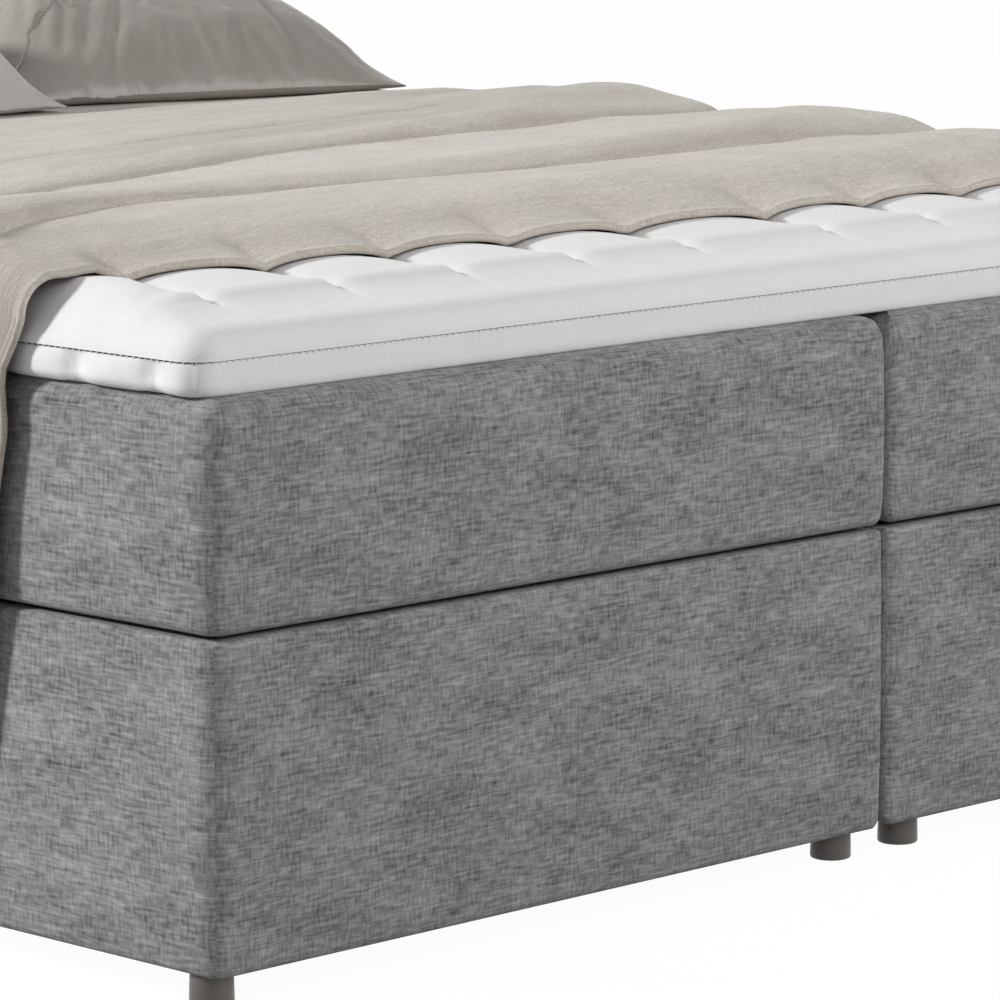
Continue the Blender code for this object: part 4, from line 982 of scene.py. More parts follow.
# %% The pillows' shape
pillows = {
    "right": ((0.635, 0.786), (0.293, 0.178), math.radians(-14), taupe_satin, "taupe_satin"),
    "middle": ((0.075, 0.790), (0.268, 0.190), math.radians(3), pale_satin, "pale_satin"),
    "left": ((-0.620, 0.780), (0.255, 0.178), math.radians(9), taupe_satin, "taupe_satin"),
}
pillow_rim, pillow_corner = 0.007, (0.02, 0.02)
pillow_steps = (96, 60)
short_reach, long_reach, front_reach, back_reach = 0.120, 0.200, 0.160, 0.150
gather_height, drawn_edge = 0.0020, 0.055
drawn_half = (0.236, 0.178)
pillow_wrinkles = (
    ((0.062, -0.070), (0.074, -0.160), 0.0050), ((-0.064, 0.010), (-0.105, -0.065), 0.0050),
    ((-0.112, -0.025), (-0.198, -0.165), 0.0042), ((-0.166, -0.040), (-0.236, -0.155), 0.0034),
    ((-0.190, -0.020), (-0.250, -0.130), 0.0038), ((-0.212, -0.005), (-0.272, -0.110), 0.0034),
    ((-0.225, 0.030), (-0.280, -0.060), 0.0034), ((0.012, -0.110), (-0.010, -0.165), 0.0034),
    ((0.150, -0.060), (0.205, -0.140), 0.0030), ((0.120, 0.060), (0.190, 0.120), 0.0034),
)


def wrinkled(x, y, half):
    """Long wrinkles from a start to a stop, drawn on one plan and moved to the end of this pillow's."""
    height = np.zeros(x.shape)
    for start, stop, depth in pillow_wrinkles:
        start, stop = np.array(start), np.array(stop)
        length = np.hypot(*(stop - start))
        along = (stop - start) / length
        px, py = x - (half[0] - drawn_half[0]) - start[0], y * drawn_half[1] / half[1] - start[1]
        run, aside = px * along[0] + py * along[1], px * along[1] - py * along[0]
        fade = ease(run, -0.035, 0.015) * (1 - ease(run, length - 0.01, length + 0.03))
        ridge, valley = np.exp(-((aside - 0.015) / 0.009) ** 2), np.exp(-(aside / 0.0075) ** 2)
        height += depth * fade * (0.6 * ridge - valley)
    return height


def crowned(x, y, edge, half, height, tight):
    """The filled pillow's shape over its plan: how high its upper and its lower cloth lie."""
    side, end = half[0] - np.abs(x), half[1] - np.abs(y)
    reach_x = np.where(x * tight > 0, short_reach, long_reach)
    reach_y = np.where(y < 0, front_reach, back_reach)
    puff = np.sin(np.pi / 2 * np.clip(side / reach_x, 0, 1))
    puff = puff * np.sin(np.pi / 2 * np.clip(end / reach_y, 0, 1))
    puff = np.where(edge > 0, puff, 0) ** 0.85
    bearing = np.arctan2(y, x)
    gathers = np.sin(bearing * 23 + 2 * np.sin(bearing * 5)) + 0.7 * np.sin(bearing * 41 + x * 9)
    soft = gather_height * gathers * puff * (1 - puff) ** 2 * 4
    soft = soft + wrinkled(x, y, half) * np.clip(puff * 3, 0, 1)
    return pillow_rim + (height - pillow_rim) * puff + soft, pillow_rim * (1 - np.clip(puff * 2.4, 0, 1))


def bag_grid(half, wider=1.0, deeper=1.0):
    """The flat plan of a pillow, which may be cut larger than the filled one."""
    lines = [np.linspace(-size, size, steps + 1) for size, steps in zip(half, pillow_steps)]
    return lay_grid(lines[0] * wider, lines[1] * deeper, pillow_corner)


def pillow_bag(half, height, tight):
    """Two sheets that meet round the edge; the middle of each side is drawn in, as filling does it."""
    x, y, edge = bag_grid(half)
    upper, lower = crowned(x, y, edge, half, height, tight)
    u, v = x / half[0], y / half[1]
    px = x * (1 - drawn_edge * (1 - v ** 2) * np.abs(u) ** 3)
    py = y * (1 - drawn_edge * (1 - u ** 2) * np.abs(v) ** 3)
    return [(top_patch(px, py, z)[0], np.stack([x, y], 2)) for z in (upper, lower)]


# %% [markdown]
# Real satin also has small wrinkles that nobody places. Cloth simulation with pressure gives these: a flat
# bag, cut a little larger, swells for 26 frames without gravity, and its corners stay pointed. Only a share
# of its movement is added to the formula's shape, at most 5 mm in each direction, so the outline stays that
# of the photograph.

# %% Filling by simulation
filling_frames, bag_depth, unevenness = 26, 0.006, 0.0008


def fill_bag(half, seed):
    """Blow a flat bag up by cloth simulation and return the points it ends at."""
    x, y, edge = bag_grid(half, 1.08, 1.10)
    depth = bag_depth * np.clip(edge / 0.02, 0, 1)
    obj = make_piece("flat_bag", [top_patch(x, y, depth), top_patch(x, y, -depth)], taupe_satin)
    uneven = np.random.default_rng(seed)
    for vertex in obj.data.vertices:
        vertex.co.z += float(uneven.normal(0, unevenness))
    modifier = obj.modifiers.new("filling", "CLOTH")
    cloth = modifier.settings
    cloth.quality = 6
    cloth.mass = 0.25
    cloth.tension_stiffness = cloth.compression_stiffness = 22
    cloth.shear_stiffness = 8
    cloth.bending_stiffness = 0.8
    cloth.use_pressure = True
    cloth.uniform_pressure_force = 5.0
    cloth.effector_weights.gravity = 0.0
    modifier.point_cache.frame_end = filling_frames
    for number in range(1, filling_frames + 1):
        bpy.context.scene.frame_set(number)
    shape = bpy.data.meshes.new_from_object(obj.evaluated_get(bpy.context.evaluated_depsgraph_get()))
    points = np.array([v.co for v in shape.vertices])
    bpy.context.scene.frame_set(1)
    bpy.data.objects.remove(obj)
    bpy.data.meshes.remove(shape)
    return points


filled_share, largest_step = 0.2, 0.005


def filled_step(points, half, height, seed):
    """How far each point of the formula's pillow moves towards the simulated one."""
    blown = fill_bag(half, seed)
    low, high = blown.min(0), blown.max(0)
    wanted, got = [2 * half[0], 2 * half[1], 1], [high[0] - low[0], high[1] - low[1], 1]
    blown = (blown - (low + high) / 2) * wanted / got
    thick = np.clip(np.abs(blown[:, 2]) / np.abs(blown[:, 2]).max(), 0, 1)
    upper = points[:, 2] > pillow_rim - 0.0001
    blown[:, 2] = np.where(upper, pillow_rim + (height - pillow_rim) * thick, pillow_rim * (1 - thick * 2))
    return largest_step * np.tanh((blown - points) * filled_share / largest_step)


# %% Three pillows
lowest_point = 0.0012


def make_pillow(side, seed):
    """One pillow in its place, turned a little, as thrown on the bed."""
    place, half, turn, finish, slot = pillows[side]
    box_low, box_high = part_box(f"pillow_{side}")
    height, tight = box_high.z - box_low.z - 0.001, 1 if side == "middle" else -1
    piece = make_piece(f"satin_pillow_{side}", pillow_bag(half, height, tight), finish)
    points = np.array([v.co for v in piece.data.vertices])
    points = points + filled_step(points, half, height, seed)
    points[:, 2] = np.clip(points[:, 2], lowest_point, height)
    cos, sin = math.cos(turn), math.sin(turn)
    x = place[0] + points[:, 0] * cos - points[:, 1] * sin
    y = place[1] + points[:, 0] * sin + points[:, 1] * cos
    placed = np.stack([x, y, box_low.z + points[:, 2]], 1)
    piece.data.vertices.foreach_set("co", placed.astype(np.float32).ravel())
    smooth = piece.modifiers.new("smooth", "SUBSURF")
    smooth.levels = smooth.render_levels = 1
    dress(piece, f"pillow_{side}", f"pillow_{side}")


for seed, side in enumerate(pillows):
    make_pillow(side, seed)
    print("pillow", side, "filled")

# %% [markdown]
# Under the covers lie padding and foam. Each is a band or a slab round the same plan as its half, drawn in
# until it lies just inside its cover, so all of them come from the two helpers for rings and grids. Foam is
# open cells, which a Voronoi pattern gives, and felt is the same pattern with larger, darker cells.

# %% Foam and felt
def foam_finish(name, dark, light, cell):
    """Open foam or felt: fine cells, and a faint change of tone over the block."""
    finish = Finish(name, Roughness=0.95, Specular_IOR_Level=0.15)
    place = finish.place()
    cells = finish.node("TexVoronoi", {"feature": "F1"}, {"Vector": place, "Scale": 1 / cell})
    cloud = finish.noise(place, (6.0, 6.0, 6.0), detail=4.0)
    grain = finish.noise(place, (900.0, 900.0, 900.0), detail=1.0)
    finish.bump(cells + grain * 0.6, cell * 0.35, 0.6)
    tone = 0.35 + cells * 0.5 + (cloud - 0.5) * 0.6 + (grain - 0.5) * 0.4
    return finish.set(Base_Color=finish.between(tone.clamp(), dark, light))


cream_foam = foam_finish("cream_foam", (0.58, 0.53, 0.38), (0.76, 0.72, 0.56), 0.0016)
grey_felt = foam_finish("grey_felt", (0.10, 0.10, 0.11), (0.30, 0.29, 0.28), 0.0030)


def band_piece(name, rim, profile, finish):
    """A closed band: its rings come back to the first one."""
    return make_piece(name, [ring_patch(rim, [*profile, profile[0]])], finish)


def slab_piece(name, plan, profile, finish):
    """A closed slab: rings up its side, a grid below and a grid above."""
    xs, ys, rim = plan
    below, above = profile[0], profile[-1]
    patches = [ring_patch(rim, profile), top_patch(*inner_grid(xs, ys, rim, below[0]), below[1])]
    patches.append(top_patch(*inner_grid(xs, ys, rim, above[0]), float(np.mean(above[1]))))
    return make_piece(name, patches, finish)


# %% Padding of the boxes
padding_face, padding_back, padding_low, padding_high = 0.0033, 0.0082, 0.047, 0.3245


def box_padding(half):
    rim = half_rim(half, coarse_step)[2]
    low = padding_low + 0.010 * split_side(rim, half)
    profile = [(0.0040, low), (padding_face, low + 0.004), (padding_face, 0.320), (0.0040, padding_high)]
    profile += [(padding_back, padding_high), (padding_back, low)]
    piece = band_piece(f"box_padding_{half}", rim, profile, cream_foam)
    dress(piece, "base", f"base_padding_{half}")


# %% Foam and felt of the lids
frame_high, frame_step, frame_wide, skirt_face, skirt_back = 0.5050, 0.4136, 0.0550, 0.0036, 0.0104
felt_low, felt_high, foam_low, foam_face = 0.5056, 0.5086, 0.5090, 0.0038


def foam_frame(half, rim):
    """The firm edge round the springs, with a skirt that hangs down over the rails."""
    skirt = 0.352 + 0.016 * np.clip(rim[1][:, 1], 0, 1) ** 2
    profile = [(0.0062, skirt), (skirt_face, skirt + 0.004), (skirt_face, 0.500), (0.0056, frame_high)]
    profile += [(0.0540, frame_high), (frame_wide, 0.5040), (frame_wide, frame_step)]
    profile += [(skirt_back, frame_step), (skirt_back, skirt)]
    piece = band_piece(f"lid_foam_frame_{half}", rim, profile, cream_foam)
    dress(piece, f"lid_{half}", f"edge_foam_{half}")


def felt_and_foam(half, plan):
    """Felt over the springs, and the foam on it, as round as the cover."""
    profile = [(0.0048, felt_low), (0.0040, 0.5070), (0.0048, felt_high)]
    felt = slab_piece(f"lid_felt_{half}", plan, profile, grey_felt)
    dress(felt, f"lid_{half}", f"felt_pad_{half}")
    top = top_radius + (split_radius - top_radius) * split_side(plan[2], half)
    reach = top - foam_face
    profile = [(0.0048, foam_low), (foam_face, 0.5102)]
    profile += [(top - reach * math.cos(t), lid_high - top + reach * math.sin(t)) for t in arc(0, 90, 5)]
    foam = slab_piece(f"lid_foam_{half}", plan, profile, cream_foam)
    dress(foam, f"lid_{half}", f"foam_layer_{half}")


for half in halves:
    box_padding(half)
    coarse_plan = half_rim(half, coarse_step)
    foam_frame(half, coarse_plan[2])
    felt_and_foam(half, coarse_plan)
print("padding, foam and felt in", len(halves), "halves")

# %% Foam core of the topper
core_lines = spaced(-topper_x, topper_x, coarse_step), spaced(-topper_y, topper_y, coarse_step)
topper_plan = (*core_lines, rim_out(*core_lines, topper_corner))
core_profile = [(0.0165, 0.5490), (0.0145, 0.5515), (0.0145, 0.5900), (0.0205, 0.5958)]
topper_foam = slab_piece("topper_foam_core", topper_plan, core_profile, cream_foam)
dress(topper_foam, "topper", "topper_core")
print("topper core", len(topper_foam.data.polygons), "faces")

# %% [markdown]
# Inside the bed are chipboard, hardboard, pine rails, birch slats and steel fittings. They are seen only
# when the lids are up, yet each needs its own surface: wood has rings and pores along its grain, board has
# short fibres, plated steel a faint grain and softly varying gloss. Three functions give the three kinds,
# and each finish is one call with its own colours.


# %% Wood, boards and metal
def wood_finish(name, dark, light, grain_axis, rough=0.6):
    """Planed wood: growth rings stretched along the grain, fine pores and a few darker streaks."""
    finish = Finish(name, Roughness=rough, Specular_IOR_Level=0.35)
    place = finish.place()
    along = {0: (1.6, 38.0, 38.0), 1: (38.0, 1.6, 38.0)}[grain_axis]
    rings = finish.noise(place, along, detail=4.0, roughness=0.6)
    pores = finish.noise(place, tuple(v * 14 for v in along), detail=2.0)
    bands = (rings * 42.0).sine() * 0.5 + 0.5
    tone = bands * 0.45 + (rings - 0.5) * 0.8 + (pores - 0.5) * 0.5 + 0.3
    finish.bump(pores * 0.7 + bands * 0.3, 0.0004, 0.5)
    colour = finish.between(tone.clamp(), dark, light)
    return finish.set(Base_Color=colour, Roughness=rough + (bands - 0.5) * 0.12)


def board_finish(name, dark, light, fibre, rough):
    """Pressed board: short fibres in every direction."""
    finish = Finish(name, Roughness=rough, Specular_IOR_Level=0.3)
    place = finish.place()
    fibres = finish.noise(place, (fibre, fibre * 0.45, fibre), detail=3.0, roughness=0.65)
    flecks = finish.noise(place, (fibre * 0.3, fibre, fibre), detail=2.0).rise(0.55, 0.75)
    finish.bump(fibres + flecks * 0.5, 0.0003, 0.5)
    tone = (fibres - 0.5) * 1.6 + 0.45 + flecks * 0.3
    return finish.set(Base_Color=finish.between(tone.clamp(), dark, light))


def metal_finish(name, tone, rough, metallic, brushed, coat=0.0):
    """Plated or painted steel: a faint grain, a few dull patches and softly varying gloss."""
    finish = Finish(name, Metallic=metallic, Roughness=rough, Coat_Weight=coat)
    place = finish.place()
    grain = finish.noise(place, brushed, detail=2.0)
    cloud = finish.noise(place, (28.0, 28.0, 28.0), detail=4.0, roughness=0.6)
    finish.bump(grain * 0.4 + cloud * 0.2, 0.0002, 0.4)
    dark, light = tuple(v * 0.80 for v in tone), tuple(min(1.0, v * 1.15) for v in tone)
    colour = finish.between((cloud * 1.4 - 0.2).clamp(), dark, light)
    return finish.set(Base_Color=colour, Roughness=(cloud - 0.5) * 0.25 + (grain - 0.5) * 0.10 + rough)


panel_wood = board_finish("panel_wood", (0.36, 0.25, 0.14), (0.60, 0.45, 0.28), 160.0, 0.7)
hardboard = board_finish("hardboard", (0.13, 0.075, 0.04), (0.28, 0.17, 0.09), 420.0, 0.55)
black_board = board_finish("black_board", (0.012, 0.012, 0.013), (0.040, 0.040, 0.042), 500.0, 0.85)
rail_pine = wood_finish("rail_pine", (0.46, 0.30, 0.15), (0.72, 0.54, 0.32), 1)
slat_birch = wood_finish("slat_birch", (0.58, 0.42, 0.25), (0.78, 0.62, 0.42), 0, 0.5)
zinc_steel = metal_finish("zinc_steel", (0.62, 0.63, 0.65), 0.34, 1.0, (60.0, 900.0, 900.0))
strut_black = metal_finish("strut_black", (0.020, 0.020, 0.022), 0.38, 0.0, (500.0, 500.0, 500.0), 0.3)
strut_chrome = metal_finish("strut_chrome", (0.80, 0.80, 0.82), 0.10, 1.0, (900.0, 900.0, 60.0))
glide_plastic = metal_finish("glide_plastic", (0.105, 0.093, 0.082), 0.42, 0.0, (260.0, 260.0, 260.0))
print("finishes", panel_wood.name, hardboard.name, black_board.name, rail_pine.name, slat_birch.name)
print("finishes", zinc_steel.name, strut_black.name, strut_chrome.name, glide_plastic.name)

# %% [markdown]
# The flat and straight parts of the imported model, such as slats, plates and struts, have the right shape
# already. They stay as they are, and only get the finish of their material in place of the plain one.

# %% Parts that keep their shape
carried_over = {
    hardboard: ["bottom_board_left", "bottom_board_right"],
    black_board: ["underboard_left", "underboard_right"],
    rail_pine: ["lid_frame_left", "lid_frame_right"],
    slat_birch: ["slat_deck_left", "slat_deck_right"],
    zinc_steel: ["box_connector_front", "box_connector_head"],
    strut_black: [], strut_chrome: [],
}
for half in halves:
    for side in ("outer", "split"):
        carried_over[zinc_steel] += [f"lift_plate_{half}_{side}", f"lift_arm_{half}_{side}"]
        carried_over[strut_black].append(f"strut_tube_{half}_{side}")
        carried_over[strut_chrome].append(f"strut_rod_{half}_{side}")
for finish, nodes in carried_over.items():
    for node in nodes:
        for place in bpy.data.objects[node].material_slots:
            place.material = finish
print("nodes kept with a new finish", sum(len(nodes) for nodes in carried_over.values()))

# %% [markdown]
# The box frame is four glued panels. Its lower edge is planed round where the two boxes meet, so that the
# cover can turn under softly there, as the photograph shows it. Four boards with a bevel would leave the
# round corners open, so a band of rings with that rounding makes the frame.

# %% Panels of the storage boxes
panel_face, panel_back, panel_low, panel_high, planed_edge = 0.0086, 0.0246, 0.0324, 0.3296, 0.0030


def box_panels(half):
    rim = half_rim(half, coarse_step)[2]
    planed = planed_edge + 0.0090 * split_side(rim, half)
    profile = [(panel_face + planed, panel_low), (panel_face + planed * 0.25, panel_low + planed * 0.32)]
    profile += [(panel_face, panel_low + planed * 0.75), (panel_face, 0.3286), (0.0094, panel_high)]
    profile += [(0.0238, panel_high), (panel_back, 0.3288), (panel_back, 0.0330), (0.0240, panel_low)]
    piece = band_piece(f"box_panels_{half}", rim, profile, panel_wood)
    return dress(piece, "base", f"base_frame_{half}")


for half in halves:
    print("box panels", half, len(box_panels(half).data.polygons), "faces")

# %% [markdown]
# Springs, glides, screws, zip teeth and stitches repeat one small shape many times. One Geometry Nodes tree
# does them all: it puts the shape on every point of a mesh, turned as the point says, a little unevenly
# where that is wanted, makes the copies real and gives them their finish. Each result is turned into a
# plain mesh.


# %% One tree that repeats a shape
def repeat_tree():
    """Points, a shape, its size and how uneven that is, a seed and a finish go in; a mesh comes out."""
    tree = bpy.data.node_groups.new("repeat_shape", "GeometryNodeTree")
    kinds = {"Points": "Geometry", "Shape": "Object", "Size": "Float", "Uneven": "Float", "Seed": "Int",
             "Finish": "Material"}
    for name, kind in kinds.items():
        tree.interface.new_socket(name, in_out="INPUT", socket_type=f"NodeSocket{kind}")
    tree.interface.new_socket("Mesh", in_out="OUTPUT", socket_type="NodeSocketGeometry")
    given, result = tree.nodes.new("NodeGroupInput"), tree.nodes.new("NodeGroupOutput")
    turn = tree.nodes.new("GeometryNodeInputNamedAttribute")
    turn.data_type = "FLOAT_VECTOR"
    turn.inputs["Name"].default_value = "turn"
    euler = tree.nodes.new("FunctionNodeEulerToRotation")
    shape = tree.nodes.new("GeometryNodeObjectInfo")
    random = tree.nodes.new("FunctionNodeRandomValue")
    copies = tree.nodes.new("GeometryNodeInstanceOnPoints")
    real = tree.nodes.new("GeometryNodeRealizeInstances")
    painted = tree.nodes.new("GeometryNodeSetMaterial")
    size, uneven = Wire(tree, given.outputs["Size"]), Wire(tree, given.outputs["Uneven"])
    smallest, largest, number = random.inputs[2], random.inputs[3], random.outputs[1]
    plug(tree, smallest, size * (1 - uneven))
    plug(tree, largest, size * (1 + uneven))
    links = [
        (given.outputs["Points"], copies.inputs["Points"]),
        (given.outputs["Shape"], shape.inputs["Object"]),
        (given.outputs["Seed"], random.inputs["Seed"]),
        (given.outputs["Finish"], painted.inputs["Material"]),
        (shape.outputs["Geometry"], copies.inputs["Instance"]),
        (number, copies.inputs["Scale"]),
        (turn.outputs[0], euler.inputs[0]),
        (euler.outputs[0], copies.inputs["Rotation"]),
        (copies.outputs[0], real.inputs[0]),
        (real.outputs[0], painted.inputs[0]),
        (painted.outputs[0], result.inputs[0]),
    ]
    for start, stop in links:
        tree.links.new(start, stop)
    return tree


repeat_shape = repeat_tree()
print("tree", repeat_shape.name, len(repeat_shape.nodes), "nodes")

# %% A turned shape, and its copies as one mesh
def turned(profile, steps):
    """A small shape from a lathe: (radius, height) pairs, closed where the radius is zero."""
    turns = np.linspace(0, 2 * np.pi, steps + 1)
    cos, sin = np.cos(turns), np.sin(turns)
    rings = np.array([np.column_stack([r * cos, r * sin, 0 * turns + z]) for r, z in profile])
    return make_piece("small_shape", [(rings, rings[..., :2])], zinc_steel)


def repeated(name, shape, places, turns, finish, uneven=0.0, seed=0):
    """One plain mesh with the shape at every place; turns are Euler angles."""
    mesh = bpy.data.meshes.new(name)
    mesh.from_pydata([tuple(p) for p in places], [], [])
    layer = mesh.attributes.new("turn", "FLOAT_VECTOR", "POINT")
    layer.data.foreach_set("vector", np.broadcast_to(turns, (len(places), 3)).astype(np.float32).ravel())
    obj = bpy.data.objects.new(name, mesh)
    bpy.context.scene.collection.objects.link(obj)
    modifier = obj.modifiers.new("repeat", "NODES")
    modifier.node_group = repeat_shape
    values = {"Shape": shape, "Size": 1.0, "Uneven": uneven, "Seed": seed, "Finish": finish}
    for item in repeat_shape.interface.items_tree:
        if item.in_out == "INPUT" and item.name in values:
            modifier[item.identifier] = values[item.name]
    result = bpy.data.meshes.new_from_object(obj.evaluated_get(bpy.context.evaluated_depsgraph_get()))
    obj.modifiers.clear()
    obj.data = result
    bpy.data.objects.remove(shape)
    print(name, len(places), "times,", len(result.polygons), "faces")
    return obj


# %% [markdown]
# The lid stands on a core of pocket springs: 27 rows of 11 coils, each sewn into its own sleeve of thin
# white fleece. From outside one sees only the sleeves, touching like barrels, so a barrel is turned on the
# lathe and the coil inside shows as rings in its bump.

# %% Pocket springs
pocket_columns, pocket_rows = 11, 27
pocket_radius, coil_pitch = 0.0348, 0.0153


def fleece_finish():
    """Thin white fleece over a coil: the coil's turns press through as soft rings."""
    finish = Finish("pocket_fleece", Roughness=0.95, Sheen_Weight=0.2, Specular_IOR_Level=0.1)
    place = finish.place()
    coil = (finish.parts(place)[2] * (2 * math.pi / coil_pitch)).sine()
    dots = finish.node("TexVoronoi", {"feature": "F1"}, {"Vector": place, "Scale": 420.0})
    cloud = finish.noise(place, (30.0, 30.0, 30.0), detail=3.0)
    finish.bump(coil + dots * 0.4 + cloud * 1.5, 0.0011, 0.7)
    tone = 0.55 + coil * 0.12 + (dots - 0.3) * 0.4 + (cloud - 0.5) * 0.6
    return finish.set(Base_Color=finish.between(tone.clamp(), (0.66, 0.66, 0.64), (0.86, 0.86, 0.84)))


def pocket_springs(half):
    low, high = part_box(f"spring_core_{half}")
    pitch_x, pitch_y = (high.x - low.x) / pocket_columns, (high.y - low.y) / pocket_rows
    places = [(low.x + pitch_x * (i + 0.5), low.y + pitch_y * (j + 0.5), low.z)
              for i in range(pocket_columns) for j in range(pocket_rows)]
    tall = high.z - low.z
    pocket = [(0, 0.0), (0.024, 0.0006), (0.0325, 0.008), (pocket_radius, tall / 2), (0.0325, tall - 0.008)]
    pocket += [(0.024, tall - 0.0006), (0, tall)]
    springs = repeated(f"pocket_springs_{half}", turned(pocket, 10), places, (0, 0, 0.3), pocket_fleece)
    dress(springs, f"lid_{half}", f"spring_core_{half}")


pocket_fleece = fleece_finish()
for half in halves:
    pocket_springs(half)

# %% [markdown]
# Each box stands on four short glides of dark plastic, turned with a small foot ring. A glide is the same
# shape eight times, so one turned profile and the tree make all of them, in the places that the packed
# model gives.

# %% Glides
glide = [(0, 0.0014), (0.011, 0.0014), (0.0122, 0.0), (0.0180, 0.0), (0.0198, 0.0008), (0.0205, 0.0026),
         (0.0202, 0.0140), (0.0198, 0.0262), (0.0192, 0.0290), (0.0188, 0.0298), (0.0188, 0.0318),
         (0, 0.0318)]
corners = [(side, end) for side in ("outer", "split") for end in ("front", "head")]
glide_nodes = [f"foot_{half}_{side}_{end}" for half in halves for side, end in corners]
glide_boxes = [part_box(node) for node in glide_nodes]
glide_places = [((low.x + high.x) / 2, (low.y + high.y) / 2, 0.0) for low, high in glide_boxes]
glides = repeated("turned_glides", turned(glide, 28), glide_places, (0, 0, 0), glide_plastic)
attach(glides, "base")
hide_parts(*glide_nodes)

# %% [markdown]
# Screws hold the connector plates under the boxes, the hinge plates inside them and the arms on the lid
# rails. One round-headed screw with a recess is turned once. Its axis is Z, so each place also says how it
# is turned: upside down below the boxes, and on its side on the plates and arms.

# %% Screws
screw = [(0, 0.0019), (0.0011, 0.0019), (0.0013, 0.0013), (0.0021, 0.0013), (0.0027, 0.0016),
         (0.0038, 0.0010), (0.0043, 0.0002), (0.0043, 0.0), (0, 0.0)]
connector_face, plate_face, arm_face, arm_height = 0.0267, 0.0289, 0.0329, 0.3585
plate_holes = ((0.950, 0.290), (0.950, 0.238), (0.915, 0.250), (0.885, 0.190))
arm_holes = (0.705, 0.775, 0.845, 0.915)


def trim(piece, body):
    """Let a small piece that stands for no node move with its body."""
    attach(piece, body)


def screws(name, body, places, turns):
    trim(repeated(name, turned(screw, 12), places, turns, zinc_steel), body)


connector_holes = [(x, y + dy, connector_face)
                   for x in (-0.036, 0.036) for y in (-0.6, 0.6) for dy in (-0.018, 0.018)]
screws("connector_screws", "base", connector_holes, (math.pi, 0, 0))
for half in halves:
    low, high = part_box(f"lid_cover_{half}")
    faces = ((low.x, 1), (high.x, -1)) if half == "left" else ((high.x, -1), (low.x, 1))
    on_plates = [(edge + way * plate_face, y, z) for edge, way in faces for y, z in plate_holes]
    on_arms = [(edge + way * arm_face, y, arm_height) for edge, way in faces for y in arm_holes]
    turns = [(0, way * math.pi / 2, 0) for _, way in faces for _ in arm_holes]
    screws(f"plate_screws_{half}", "base", on_plates, turns)
    screws(f"arm_screws_{half}", f"lid_{half}", on_arms, turns)

# %% [markdown]
# The zip runs round the topper between its two covers. It shows as a thin dark line on the long side, broken
# every few millimetres by the stitches that hold it; most of that dark is shade in the open groove. A dark
# line in the material would do from afar, but a near-black tape in the gap, a row of teeth on it and pale
# stitches across the gap give that line at every distance, so the tape's colour is partly its own and partly
# painted shade of the groove.


# %% Tape and thread
def tape_finish(name, dark, light):
    """Woven tape: fine cross ribs."""
    finish = Finish(name, Roughness=0.8, Sheen_Weight=0.2)
    place = finish.place("cloth")
    ribs = (finish.parts(place)[0] * (2 * math.pi / 0.0011)).sine() * 0.5 + 0.5
    cloud = finish.noise(place, (90.0, 90.0, 1.0), detail=2.0)
    finish.bump(ribs, 0.0002, 0.6)
    return finish.set(Base_Color=finish.between((ribs * 0.6 + cloud * 0.4).clamp(), dark, light))


def thread_finish(name, dark, light):
    """Twisted thread: slanting strands."""
    finish = Finish(name, Roughness=0.6, Sheen_Weight=0.3)
    place = finish.place()
    x, y, z = finish.parts(place)
    strands = ((x + y + z) * (2 * math.pi / 0.0009)).sine() * 0.5 + 0.5
    cloud = finish.noise(place, (300.0, 300.0, 300.0), detail=1.0)
    finish.bump(strands, 0.0002, 0.5)
    return finish.set(Base_Color=finish.between((strands * 0.7 + cloud * 0.3).clamp(), dark, light))


# tape and teeth are near black: partly the zip's own colour, partly painted shade of the groove they sit in
zip_tape = tape_finish("zip_tape", (0.030, 0.030, 0.030), (0.075, 0.075, 0.073))
pale_thread = thread_finish("pale_thread", (0.55, 0.55, 0.54), (0.80, 0.80, 0.79))
print("finishes", zip_tape.name, pale_thread.name)

# %% Tape, teeth and stitches of the zip
tape_face, tape_back, tape_low, tape_high = 0.0036, 0.0138, 0.5759, 0.5764
tooth_pitch, tooth_inset, tooth_height = 0.0030, 0.0032, 0.5762
stitch_pitch, stitch_inset, stitch_height = 0.0080, 0.0012, 0.5758
tape_profile = [(tape_face, tape_low), (tape_face, tape_high),
                (tape_back, tape_high), (tape_back, tape_low)]
tape = band_piece("topper_zip_tape", topper_plan[2], tape_profile, zip_tape)
dress(tape, "topper", "topper_zip")


def along_rim(rim, inset, height, spacing):
    """Points at even steps round a rim, and the way each one faces."""
    edge, run = drawn_in(rim, inset), rim[2]
    steps = np.arange(0, run[-1], spacing)
    x, y = (np.interp(steps, run, edge[:, i]) for i in range(2))
    out_x, out_y = (np.interp(steps, run, rim[1][:, i]) for i in range(2))
    turns = np.stack([0 * x, 0 * x, np.arctan2(out_y, out_x)], 1)
    return np.stack([x, y, np.full(len(x), height)], 1), turns


def bar(length, width, thickness):
    """A short rounded thread or tooth, lying across X, standing along Z."""
    ends = [(0, -length / 2), (0.6, -length / 2), (1.0, -length * 0.3),
            (1.0, length * 0.3), (0.6, length / 2), (0, length / 2)]
    piece = turned([(width / 2 * r, z) for r, z in ends], 6)
    for vertex in piece.data.vertices:
        vertex.co.x *= thickness / width
    return piece


fine_rim = rim_out(spaced(-topper_x, topper_x, 0.02), spaced(-topper_y, topper_y, 0.02), topper_corner)
tooth, stitch = bar(0.0012, 0.0016, 0.0014), bar(0.0030, 0.0017, 0.0009)
tooth_places = along_rim(fine_rim, tooth_inset, tooth_height, tooth_pitch)
stitch_places = along_rim(fine_rim, stitch_inset, stitch_height, stitch_pitch)
trim(repeated("topper_zip_teeth", tooth, *tooth_places, zip_tape), "topper")
crossing = repeated("topper_zip_stitches", stitch, *stitch_places, pale_thread, uneven=0.12, seed=4)
trim(crossing, "topper")

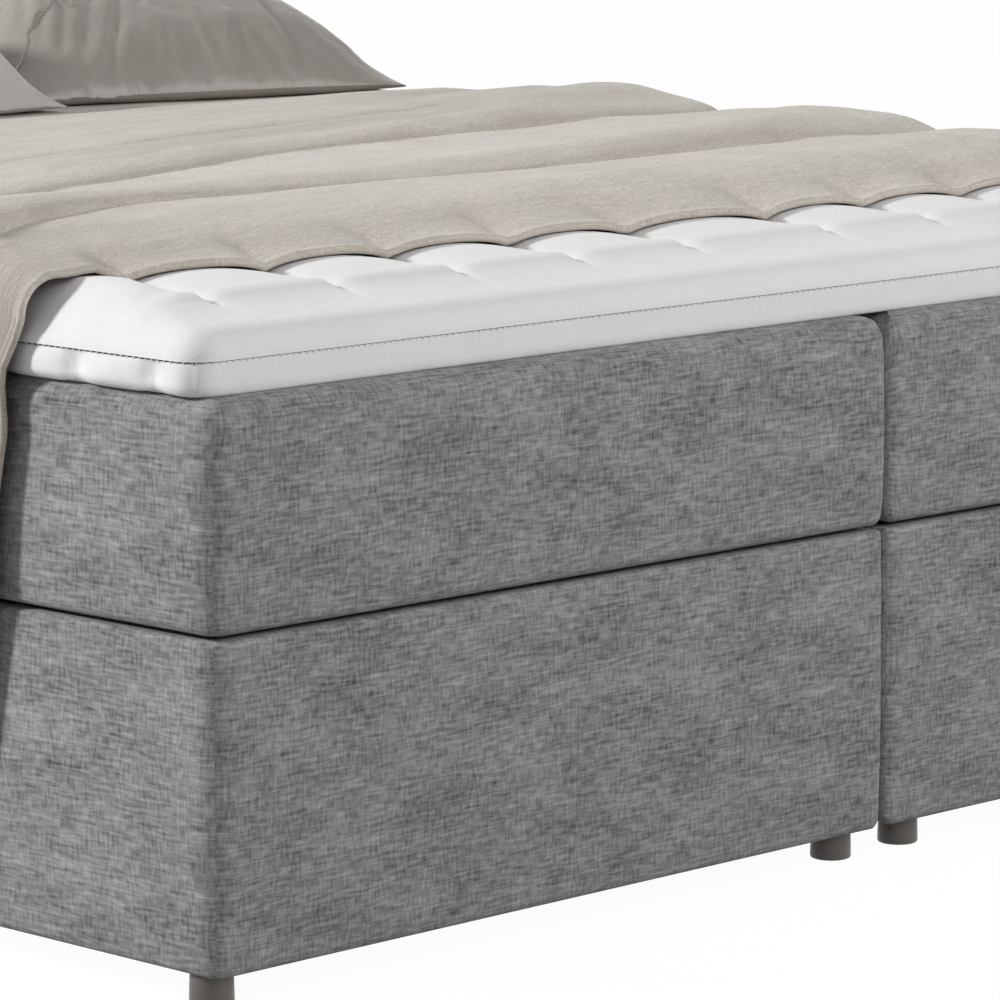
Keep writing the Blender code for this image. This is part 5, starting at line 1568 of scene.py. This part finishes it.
# %% [markdown]
# At each tuft a short stitch of thread shows at the bottom of its well. The same height formula that made
# the well gives the stitch its place, so the two can't come apart when a measure is changed.

# %% Tuft stitches
tufts = np.array([(x, y) for x in tuft_columns for y in tuft_rows])
tuft_z = seam_high + quilt_height(tufts[:, 0], tufts[:, 1], np.ones(len(tufts)))
knot, knot_places = bar(0.0055, 0.0016, 0.0016), np.column_stack([tufts, tuft_z + 0.0002])
knots = repeated("topper_tuft_stitches", knot, knot_places, (math.pi / 2, 0, 0), pale_thread,
                 uneven=0.15, seed=8)
trim(knots, "topper")

# %% [markdown]
# The bed is shown in a white studio. The floor and the world look white to the camera and in reflections
# only: for all other light the floor is grey and the world weak, so the cloth keeps its own colours and the
# bed a soft shadow. A small key lamp from the left of the head end brings out the folds, and a wide lamp
# from the front fills their shadows.


# %% Floor, world and lamps
floor_size, floor_tone, floor_glow, glow_share = 30.0, 0.38, 1.13, 0.85
world_strength = 0.35
aim = Vector((0, -0.3, 0.3))
lamps = (
    ("key", (-5.2, 3.4, 3.3), 0.9, 450.0),
    ("front_fill", (1.6, -5.4, 3.0), 3.0, 165.0),
)


def seen_by(tree, *rays):
    """1 for the kinds of ray that are named and 0 for all other light."""
    path = tree.nodes.new("ShaderNodeLightPath")
    kinds = [Wire(tree, path.outputs[f"Is {ray} Ray"]) for ray in rays]
    return sum(kinds[1:], kinds[0]).clamp()


def white_floor():
    """A floor that glows white for the camera and takes a soft shadow."""
    bpy.ops.mesh.primitive_plane_add(size=floor_size)
    floor = bpy.context.object
    floor.name = "floor"
    material = bpy.data.materials.new("floor_white")
    material.use_nodes = True
    tree = material.node_tree
    shader = tree.nodes["Principled BSDF"]
    shader.inputs["Base Color"].default_value = (floor_tone, floor_tone, floor_tone, 1)
    shader.inputs["Roughness"].default_value = 1.0
    white = tree.nodes.new("ShaderNodeEmission")
    white.inputs["Strength"].default_value = floor_glow
    mix = tree.nodes.new("ShaderNodeMixShader")
    plug(tree, mix.inputs["Fac"], seen_by(tree, "Camera", "Glossy") * glow_share)
    tree.links.new(shader.outputs[0], mix.inputs[1])
    tree.links.new(white.outputs[0], mix.inputs[2])
    tree.links.new(mix.outputs[0], tree.nodes["Material Output"].inputs["Surface"])
    floor.data.materials.append(material)


def pale_world():
    """A weak white light from all sides that the camera, gloss and glass see as full white."""
    world = bpy.data.worlds.new("world")
    bpy.context.scene.world = world
    world.use_nodes = True
    tree = world.node_tree
    background = tree.nodes["Background"]
    background.inputs["Color"].default_value = (1, 1, 1, 1)
    shown = seen_by(tree, "Camera", "Glossy", "Transmission")
    plug(tree, background.inputs["Strength"], world_strength + (1 - world_strength) * shown)


def soft_lamp(name, place, size, power):
    data = bpy.data.lights.new(name, "AREA")
    data.size, data.energy = size, power
    lamp = bpy.data.objects.new(name, data)
    lamp.location = place
    lamp.rotation_euler = (aim - Vector(place)).to_track_quat("-Z", "Y").to_euler()
    bpy.context.scene.collection.objects.link(lamp)
    print("lamp", name, power, "W")


white_floor()
pale_world()
for lamp in lamps:
    soft_lamp(*lamp)
